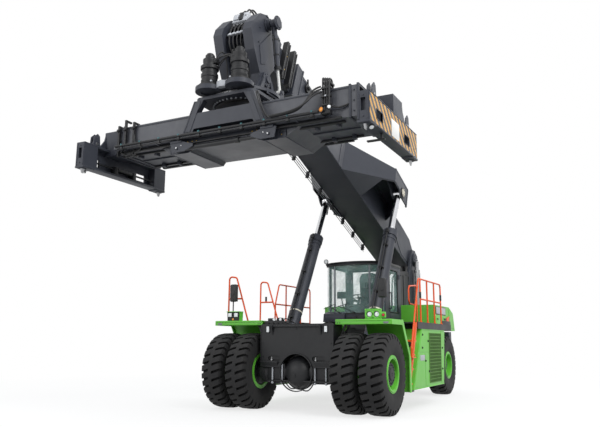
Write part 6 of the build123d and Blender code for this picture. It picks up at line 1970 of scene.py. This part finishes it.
@dataclass
class Spreader:
    """Rail pipes and clamps, the side-shift ram, hoses, collars and lamps on the spreader's main frame."""

    layout: Layout
    tunnel_out: float = 0.555
    rail_out: float = 0.77
    rail_z: float = 5.19
    top_z: float = 5.63
    bottom_z: float = 5.08
    ram_z: float = 4.95
    ram_out: float = 0.66

    def build(self) -> None:
        """Make the main frame's pieces."""
        self._rails()
        self._ram()
        self._collars()
        self._post()
        self._keel()

    def _rails(self) -> None:
        """A slim pipe along the front rail on clamps, and wear strips on both rails."""
        edge, rail = self.rail_out, self.rail_z
        piece = Piece("rail_pipes", self.layout.load()).use(Finish.BLACK)
        piece.rod((edge + 0.012, -2.46, rail - 0.02), (edge + 0.012, 1.96, rail - 0.02), 0.024, sides=14)
        piece.rod((edge + 0.008, -2.4, rail - 0.075), (edge + 0.008, 1.9, rail - 0.075), 0.012, sides=10)
        for number in range(10):
            y = -2.3 + 0.46 * number
            piece.use(Finish.TEAL).box(
                (edge - 0.02, edge + 0.036), about(y, 0.014), (rail - 0.02, rail + 0.016), 0.006
            )
            piece.use(Finish.BLACK).box(
                (edge - 0.04, edge + 0.03), about(y, 0.03), (rail - 0.098, rail - 0.045), 0.006
            )
        piece.box((-0.765, -0.7), (-2.48, 1.98), (rail - 0.1, rail - 0.068), 0.006)
        # long guide bars under the frame
        for out, z in ((0.6, 5.055), (0.42, 5.04), (-0.42, 5.04)):
            piece.box(about(out, 0.03), (-2.45, 2.3), (z, z + 0.045), 0.01)
        piece.use(Finish.BRASS)
        for y in (-0.8, -0.7, -0.6, 0.6, 0.7, 0.8):
            for z in (rail - 0.115, rail - 0.16):
                piece.bolt((0.635, y, z), AHEAD, 0.012, 0.012)
        piece.use(Finish.ANTHRACITE).box((0.555, 0.635), (-1.05, 1.05), (rail - 0.2, rail - 0.07), 0.008)
        for level in (-1, 1):
            out = level * self.tunnel_out
            for z in (self.top_z - 0.045, self.bottom_z + 0.16):
                piece.box((out - level * 0.002, out + level * 0.008), (-2.45, 2.45), (z, z + 0.03), 0.003)
        piece.done("spreader", "black_paint", 0.002)

    def _ram(self) -> None:
        """The side-shift ram between two lug plates below the front rail."""
        piece = Piece("side_shift_ram", self.layout.load(self.ram_out, self.ram_z)).use(Finish.BLACK)
        piece.rod((0, -0.92, 0), (0, 0.3, 0), 0.046, sides=24)
        piece.knob(((0, 0.052), (0.05, 0.056), (0.09, 0.052)), (0, 0.26, 0), LEFT)
        piece.rod((0, 0.32, 0), (0, 0.9, 0), 0.034, sides=20)
        piece.box((-0.02, 0.02), (-0.8, 0.8), (0.075, 0.1), 0.004)
        piece.use(Finish.ANTHRACITE)
        # polygon lugs that hang from the tunnel and hold the ram's pins
        for y, sign in ((-0.98, 1), (0.98, -1)):
            lug = (
                (y - sign * 0.16, 0.12), (y + sign * 0.12, 0.12), (y + sign * 0.36, 0.05),
                (y + sign * 0.36, 0), (y + sign * 0.16, -0.075), (y - sign * 0.12, -0.075),
            )
            for step in (-0.07, 0.055):
                piece.plate(lug, "x", step, step + 0.018)
            piece.box((-0.12, 0.085), (y - 0.16, y + 0.1), (0.1, 0.165), 0.008)
            piece.knob(((-0.085, 0.03), (0.085, 0.03), (0.09, 0.022)), (0, y, 0), AHEAD, 18)
            piece.use(Finish.STEEL).bolt((0.072, y + sign * 0.1, 0.04), AHEAD, 0.014, 0.012)
            piece.bolt((0.088, y, 0), AHEAD, 0.018, 0.014)
            piece.use(Finish.ANTHRACITE)
        piece.done("spreader", "black_paint", 0.003)

    def _collars(self) -> None:
        """Collars round the tunnels' mouths and upright guide clamps near the right end."""
        place = self.layout.load()
        piece = Piece("tunnel_collars", place).use(Finish.ANTHRACITE)
        out, low, top = self.tunnel_out, self.bottom_z, self.top_z
        for y in (2.44, 2.585):
            for x, z in (
                ((out - 0.001, out + 0.022), (low - 0.02, top + 0.02)),
                ((-out - 0.022, -out + 0.001), (low - 0.02, top + 0.02)),
                ((-out - 0.02, out + 0.02), (top - 0.001, top + 0.022)),
                ((-out - 0.02, out + 0.02), (low - 0.022, low + 0.001)),
            ):
                piece.box(x, about(y, 0.02), z, 0.005)
        for z in (5.18, 5.36, 5.54):
            piece.bolt((out, 2.51, z), AHEAD, 0.016, 0.016)
        piece.mirrored()
        piece.use(Finish.BLACK)
        for y, top in ((-2.54, 5.66), (-2.37, 5.76), (-2.16, 5.69)):
            piece.box((out + 0.02, out + 0.075), about(y, 0.022), (5.02, top), 0.01)
            piece.box((out - 0.1, out + 0.07), about(y, 0.022), (top - 0.04, top), 0.008)
            piece.knob(((0, 0.03), (0.03, 0.03), (0.04, 0.018)), (out + 0.07, y, 5.55), AHEAD, 18)
        piece.done("spreader", "anthracite_paint", 0.003)
        runs = [
            [
                (out + 0.1, -2.46, 5.12), (out + 0.1, -2.36, 5.02), (out + 0.06, -2.22, 5.0),
                (out + 0.06, -2.1, 5.1), (out + 0.05, -2.14, 5.4), (out + 0.03, -2.2, 5.62),
                (0.4, -2.2, 5.68),
            ],
            [
                (out + 0.1, -1.9, 5.13), (out + 0.12, -2.0, 5.0), (out + 0.08, -2.2, 4.96),
                (out + 0.02, -2.42, 5.0), (out - 0.1, -2.5, 5.06),
            ],
        ]
        hoses("right_end_hoses", runs, 0.016, "spreader", place)

    def _post(self) -> None:
        """A hose post with looping hoses, and an amber and a white lamp at its foot."""
        place = self.layout.load(self.tunnel_out)
        piece = Piece("hose_post", place).use(Finish.BLACK)
        piece.box((0.02, 0.07), (2.02, 2.08), (5.16, 5.74), 0.01)
        piece.box((-0.1, 0.075), (1.98, 2.12), (5.7, 5.745), 0.01)
        for z in (5.3, 5.45, 5.6):
            piece.box((0.06, 0.13), (1.96, 2.14), (z, z + 0.035), 0.008)
        piece.use(Finish.PALE).bolt((0.13, 2.05, 5.47), AHEAD, 0.018, 0.014)
        piece.use(Finish.BLACK).box((0.1, 0.2), (2.0, 2.16), (5.13, 5.2), 0.01)
        piece.lamp((0.19, 2.02, 5.2), (1, -0.2, 0), 0.05, Finish.AMBER)
        piece.lamp((0.19, 2.14, 5.23), (1, 0.5, 0), 0.036, Finish.LENS)
        piece.done("spreader", "black_paint", 0.002)
        runs = []
        for number in range(4):
            out, move = 0.085 + 0.012 * number, 0.045 * number
            runs.append((
                (out, 1.98 + move, 5.17), (out, 1.98 + move, 5.45), (out, 1.98 + move, 5.72),
                (out - 0.05, 1.96 + move, 5.86 - 0.02 * number), (out - 0.22, 1.94 + move, 5.82),
                (out - 0.27, 1.93 + move, 5.64),
            ))
        for number in range(3):
            sag, out = 0.05 * number, 0.215 + 0.036 * number
            runs.append((
                (0.1, 1.95, 5.66 - sag), (0.16, 1.84, 5.62 - sag), (out, 1.76, 5.44 - sag),
                (out, 1.6, 5.27), (out, 1.35, 5.225), (out, 1.05, 5.222),
            ))
        runs.append(((0.1, 2.1, 5.3), (0.09, 2.24, 5.24), (0.05, 2.32, 5.26), (0.02, 2.42, 5.3)))
        hoses("post_hoses", runs, 0.017, "spreader", place)

    def _keel(self) -> None:
        """Ribs, cleats and pads under the middle of the frame."""
        piece = Piece("keel_ribs", self.layout.load()).use(Finish.ANTHRACITE)
        for y in (0.8, 1.23):
            piece.box((-0.545, 0.575), about(y, 0.012), (4.9, 5.09), 0.004)
        piece.box((0.555, 0.58), (0.78, 1.25), (4.896, 5.0), 0.006)
        piece.box((-0.02, 0.02), (1.5, 2.4), (5.055, 5.085), 0.004)
        for y in (1.75, 2.15):
            piece.box((0.3, 0.42), about(y, 0.03), (5.0, 5.085), 0.008)
            piece.box((-0.42, -0.3), about(y, 0.03), (5.0, 5.085), 0.008)
        piece.use(Finish.BRASS)
        for y in (0.86, 0.92, 1.1, 1.16):
            piece.bolt((0.578, y, 4.955), AHEAD, 0.012, 0.01)
        piece.mirrored().done("spreader", "anthracite_paint", 0.003)


@dataclass
class Arms:
    """Hazard stripes, corner housings, twist-lock rods, lamps and blank plates on both end beams."""

    layout: Layout
    end_y: float = 2.9265
    beam: float = 0.1
    half: float = 1.219
    low_z: float = 4.73
    high_z: float = 5.2
    holes: tuple[tuple[float, float], ...] = ((-0.74, -0.46), (0.64, 0.92))

    def build(self) -> None:
        """Make both arms' pieces."""
        for side, sign in SIDES:
            self._stripes(side, sign)
            self._fittings(side, sign)

    def _stripes(self, side: str, sign: int) -> None:
        """Striped skins on the outer plate, laid round its two openings.

        Args:
            side: "left" or "right".
            sign: 1 on the left, -1 on the right.
        """
        out = self.end_y + self.beam
        skin = Piece(f"{side}_end_stripes", self.layout.load()).use(Finish.STRIPES)
        y = (sign * (out - 0.001), sign * (out + 0.004))
        left, right, low, high = -self.half + 0.02, self.half - 0.02, self.low_z + 0.02, self.high_z - 0.012
        (a, b), (c, d) = self.holes
        for x0, x1, z0, z1 in (
            (left, right, 5.0, high), (left, right, low, 4.84), (left, a, 4.84, 5.0), (b, c, 4.84, 5.0),
            (d, right, 4.84, 5.0),
        ):
            skin.box((x0, x1), y, (z0, z1))
        skin.done(f"{side}_arm", "anthracite_paint")

    def _fittings(self, side: str, sign: int) -> None:
        """Everything bolted to one end beam.

        Args:
            side: "left" or "right".
            sign: 1 on the left, -1 on the right.
        """
        out = self.end_y + self.beam
        piece = Piece(f"{side}_end_fittings", self.layout.load()).use(Finish.ANTHRACITE)

        def across(low: float, high: float) -> tuple[float, float]:
            """The Y of an inner and an outer place on this side."""
            return sign * low, sign * high

        # rims round the openings and flanges along the beam
        for a, b in self.holes:
            for z in (4.832, 4.996):
                piece.box((a - 0.012, b + 0.012), across(out - 0.03, out + 0.01), (z, z + 0.012), 0.003)
            for e in (a - 0.012, b):
                piece.box((e, e + 0.012), across(out - 0.03, out + 0.01), (4.836, 5.004), 0.003)
        whole = (-self.half + 0.005, self.half - 0.005)
        piece.box(whole, across(out - 0.212, out + 0.012), (self.low_z - 0.012, self.low_z + 0.014), 0.004)
        piece.box(whole, across(out - 0.205, out + 0.008), (self.high_z - 0.008, self.high_z + 0.012), 0.004)
        for corner in (-1, 1):
            cx = corner * 1.1295
            # housing under each corner, with a collar round the twist-lock
            piece.box(
                (corner * (self.half - 0.3), corner * (self.half + 0.006)), across(out - 0.206, out + 0.01),
                (self.low_z - 0.03, self.low_z + 0.004), 0.008,
            )
            piece.ring((cx, sign * self.end_y, self.low_z), DOWN, 0.04, 0.075, 0, 0.042)
            edge = (corner * (self.half - 0.002), corner * (self.half + 0.01))
            for low, high in ((0.19, 0.165), (0.03, 0.008)):
                piece.box(edge, across(out - low, out - high), (4.75, 5.18), 0.003)
            for z in (4.8, 5.14):
                piece.bolt((corner * (self.half + 0.001), sign * self.end_y, z), (corner, 0, 0), 0.014, 0.012)
        piece.use(Finish.BLACK)
        # rod and ram that turn the two twist-locks, inside the channel
        back = sign * (self.end_y - 0.02)
        piece.rod((-0.86, back, 4.885), (0.86, back, 4.885), 0.019, sides=12)
        piece.rod((-0.2, back, 4.885), (0.22, back, 4.885), 0.045, sides=20)
        for x in ((-0.3, -0.22), (0.24, 0.32)):
            piece.box(x, across(self.end_y - 0.07, self.end_y + 0.06), (4.77, 4.93), 0.01)
        if sign > 0:
            # landing bracket under the left beam: a short stem and a bar that points inward
            piece.box((0.525, 0.565), across(out - 0.07, out - 0.03), (4.61, 4.745), 0.006)
            piece.box((0.515, 0.575), across(out - 0.3, out + 0.008), (4.598, 4.625), 0.006)
        for lug in (-0.85, 0.85):
            ear = (
                (lug - 0.1, 5.19), (lug + 0.1, 5.19), (lug + 0.08, 5.4), (lug - 0.01, 5.48),
                (lug - 0.07, 5.44),
            )
            for inside in (0.03, -0.05):
                piece.use(Finish.ANTHRACITE).plate(
                    ear, "y", sign * self.end_y + inside, sign * self.end_y + inside + 0.02
                )
            near, far = ((lug, sign * (self.end_y + step), 5.27) for step in (-0.045, 0.045))
            piece.use(Finish.STEEL).rod(near, far, 0.024, sides=16)
            piece.bolt(far, (0, sign, 0), 0.034, 0.014)
            piece.bolt(near, (0, -sign, 0), 0.034, 0.014)
        for number in range(5):
            piece.bolt((-0.95 + 0.42 * number, sign * (out + 0.006), 5.17), (0, sign, 0), 0.011, 0.008)
        piece.lamp((1.02, sign * (out - 0.05), self.low_z - 0.035), (0.5, 0.5 * sign, -1), 0.045, Finish.LENS)
        piece.use(Finish.WHITE).box((-0.18, 0.21), across(out + 0.003, out + 0.009), (4.77, 5.07), 0.002)
        piece.done(f"{side}_arm", "anthracite_paint", 0.002)


# ---------------------------------------------------------------- studio
@dataclass
class Studio:
    """A pale floor, soft lamps and the camera."""

    spot: tuple[float, float, float] = (14.3594, 6.2962, 1.4246)
    turn_deg: tuple[float, float, float] = (101.289, -0.24, 116.898)
    lens: float = 38.3575
    shift: tuple[float, float] = (-0.00458, 0.00148)

    def build(self) -> None:
        """Make the studio."""
        scene = bpy.context.scene
        scene.view_settings.view_transform = "Standard"
        self._camera(scene)
        self._world(scene)
        self._floor()
        for name, spot, size, power in (
            ("key_lamp", (9.0, 14.0, 16.0), 10.0, 2300), ("fill_lamp", (17.0, -7.0, 9.0), 9.0, 650),
            ("rear_lamp", (-14.0, 3.0, 14.0), 10.0, 600),
        ):
            lamp = bpy.data.lights.new(name, "AREA")
            lamp.energy, lamp.size = power, size
            holder = bpy.data.objects.new(name, lamp)
            holder.location = spot
            aim = Vector((0, 0, 3)) - Vector(spot)
            holder.rotation_euler = aim.to_track_quat("-Z", "Y").to_euler()
            scene.collection.objects.link(holder)

    def _camera(self, scene: Scene) -> None:
        """Put the camera low and to the front left."""
        camera = bpy.data.cameras.new("camera")
        camera.sensor_width, camera.lens = 36.0, self.lens
        camera.shift_x, camera.shift_y = self.shift
        camera.clip_start, camera.clip_end = 0.1, 400.0
        holder = bpy.data.objects.new("camera", camera)
        holder.location = self.spot
        holder.rotation_euler = [math.radians(turn) for turn in self.turn_deg]
        scene.collection.objects.link(holder)
        scene.camera = holder

    @staticmethod
    def _seen(tree: NodeTree) -> Node:
        """One for the rays that show a backdrop: to the eye, through glass and off metal."""
        path = add_node(tree, "ShaderNodeLightPath").outputs
        seen = add_node(
            tree, "ShaderNodeMath", {0: path["Is Camera Ray"], 1: path["Is Transmission Ray"]},
            operation="MAXIMUM",
        )
        return add_node(
            tree, "ShaderNodeMath", {0: seen.outputs[0], 1: path["Is Glossy Ray"]}, operation="MAXIMUM"
        )

    def _world(self, scene: Scene) -> None:
        """Light from all round, shown white to the camera."""
        world = bpy.data.worlds.new("studio")
        world.use_nodes = True
        tree = world.node_tree
        tree.nodes.clear()
        seen = self._seen(tree)
        way = add_node(tree, "ShaderNodeTexCoord").outputs["Generated"]
        height = add_node(tree, "ShaderNodeSeparateXYZ", {0: way}).outputs["Z"]
        rise = {"Value": height, **dict(zip(RANGE, (-0.05, 0.9, 0.34, 1.12)))}
        sky = add_node(tree, "ShaderNodeMapRange", rise).outputs[0]
        soft = add_node(tree, "ShaderNodeBackground", {"Color": (0.95, 0.975, 1.0, 1.0), "Strength": sky})
        plain = add_node(tree, "ShaderNodeBackground", {"Color": (1.0, 1.0, 1.0, 1.0), "Strength": 1.0})
        mix = add_node(
            tree, "ShaderNodeMixShader", {0: seen.outputs[0], 1: soft.outputs[0], 2: plain.outputs[0]}
        )
        add_node(tree, "ShaderNodeOutputWorld", {"Surface": mix.outputs[0]})
        scene.world = world

    def _floor(self) -> None:
        """A large pale floor that keeps a soft shadow."""
        bm = bmesh.new()
        bmesh.ops.create_grid(bm, x_segments=1, y_segments=1, size=150.0)
        mesh = bpy.data.meshes.new("floor")
        bm.to_mesh(mesh)
        bm.free()
        floor = bpy.data.objects.new("floor", mesh)
        bpy.context.scene.collection.objects.link(floor)
        material = bpy.data.materials.new("pale_floor")
        material.use_nodes = True
        tree = material.node_tree
        tree.nodes.clear()
        seen = self._seen(tree)
        place = add_node(tree, "ShaderNodeTexCoord").outputs["Object"]
        away = add_node(tree, "ShaderNodeVectorMath", {0: place}, operation="LENGTH").outputs["Value"]
        fade = {"Value": away, **dict(zip(RANGE, (7.0, 16.0, 0.72, 1.0)))}
        plain = add_node(tree, "ShaderNodeMapRange", fade).outputs[0]
        share = add_node(tree, "ShaderNodeMath", {0: seen.outputs[0], 1: plain}, operation="MULTIPLY")
        # a dark concrete's share of light goes back up to the machine, while the eye sees it pale
        shade = {0: seen.outputs[0], 6: (0.24, 0.24, 0.24, 1.0), 7: (0.86, 0.86, 0.86, 1.0)}
        pale = add_node(tree, "ShaderNodeMix", shade, data_type="RGBA")
        matt = add_node(tree, "ShaderNodeBsdfDiffuse", {"Color": pale.outputs[2]})
        lit = add_node(tree, "ShaderNodeEmission", {"Color": (1.0, 1.0, 1.0, 1.0), "Strength": 1.0})
        mix = add_node(
            tree, "ShaderNodeMixShader", {0: share.outputs[0], 1: matt.outputs[0], 2: lit.outputs[0]}
        )
        add_node(tree, "ShaderNodeOutputMaterial", {"Surface": mix.outputs[0]})
        mesh.materials.append(material)


# ---------------------------------------------------------------- the machine
# a star stands for "left_" and "right_"
CAD_FINISHES = {
    Finish.BLACK: (
        "main_frame front_axle front_bumper rear_axle walkways swing_motors slewing_ring "
        "*front_hub *knuckle"
    ),
    Finish.LENS: "headlamps",
    Finish.ORANGE: "steps handrails",
    Finish.GREEN: "light_boxes *side_box engine_hood *front_rims *rear_rim *fender",
    Finish.MOULDED: "mirrors control_console",
    Finish.GREY: "engine_block",
    Finish.ANTHRACITE: (
        "counterweight boom_tower cab_shell cab_door base_boom boom_wings inner_boom boom_head "
        "lift_barrels rotator_yoke slew_frame tilt_barrels *arm"
    ),
    Finish.STEEL: "exhaust_stack *twistlocks",
    Finish.CAB_GLASS: "cab_glass door_glass",
    Finish.SEAT: "driver_seat",
    Finish.PAD: "boom_wear_pads",
    Finish.CHROME: "lift_rods",
    # the spreader frame's paler grey is partly weathering, partly a painted sheen
    Finish.WORN_SHEEN: "spreader_frame",
    # the plated tilt rods are painted white as a painted reflection of the bright surroundings
    Finish.WHITE: "tilt_rods",
}


def main() -> None:
    """Build everything in order."""
    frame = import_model()
    layout = Layout.read(frame)
    Studio().build()
    dress(frame["nodes"], CAD_FINISHES)
    for maker in (
        Wheels, FrontEnd, Fenders, SideBoxes, Tail, Cab, Boom, BoomHead, Cylinders, Rotator, SlewFrame,
        Spreader, Arms,
    ):
        maker(layout).build()


if __name__ == "__main__":
    main()
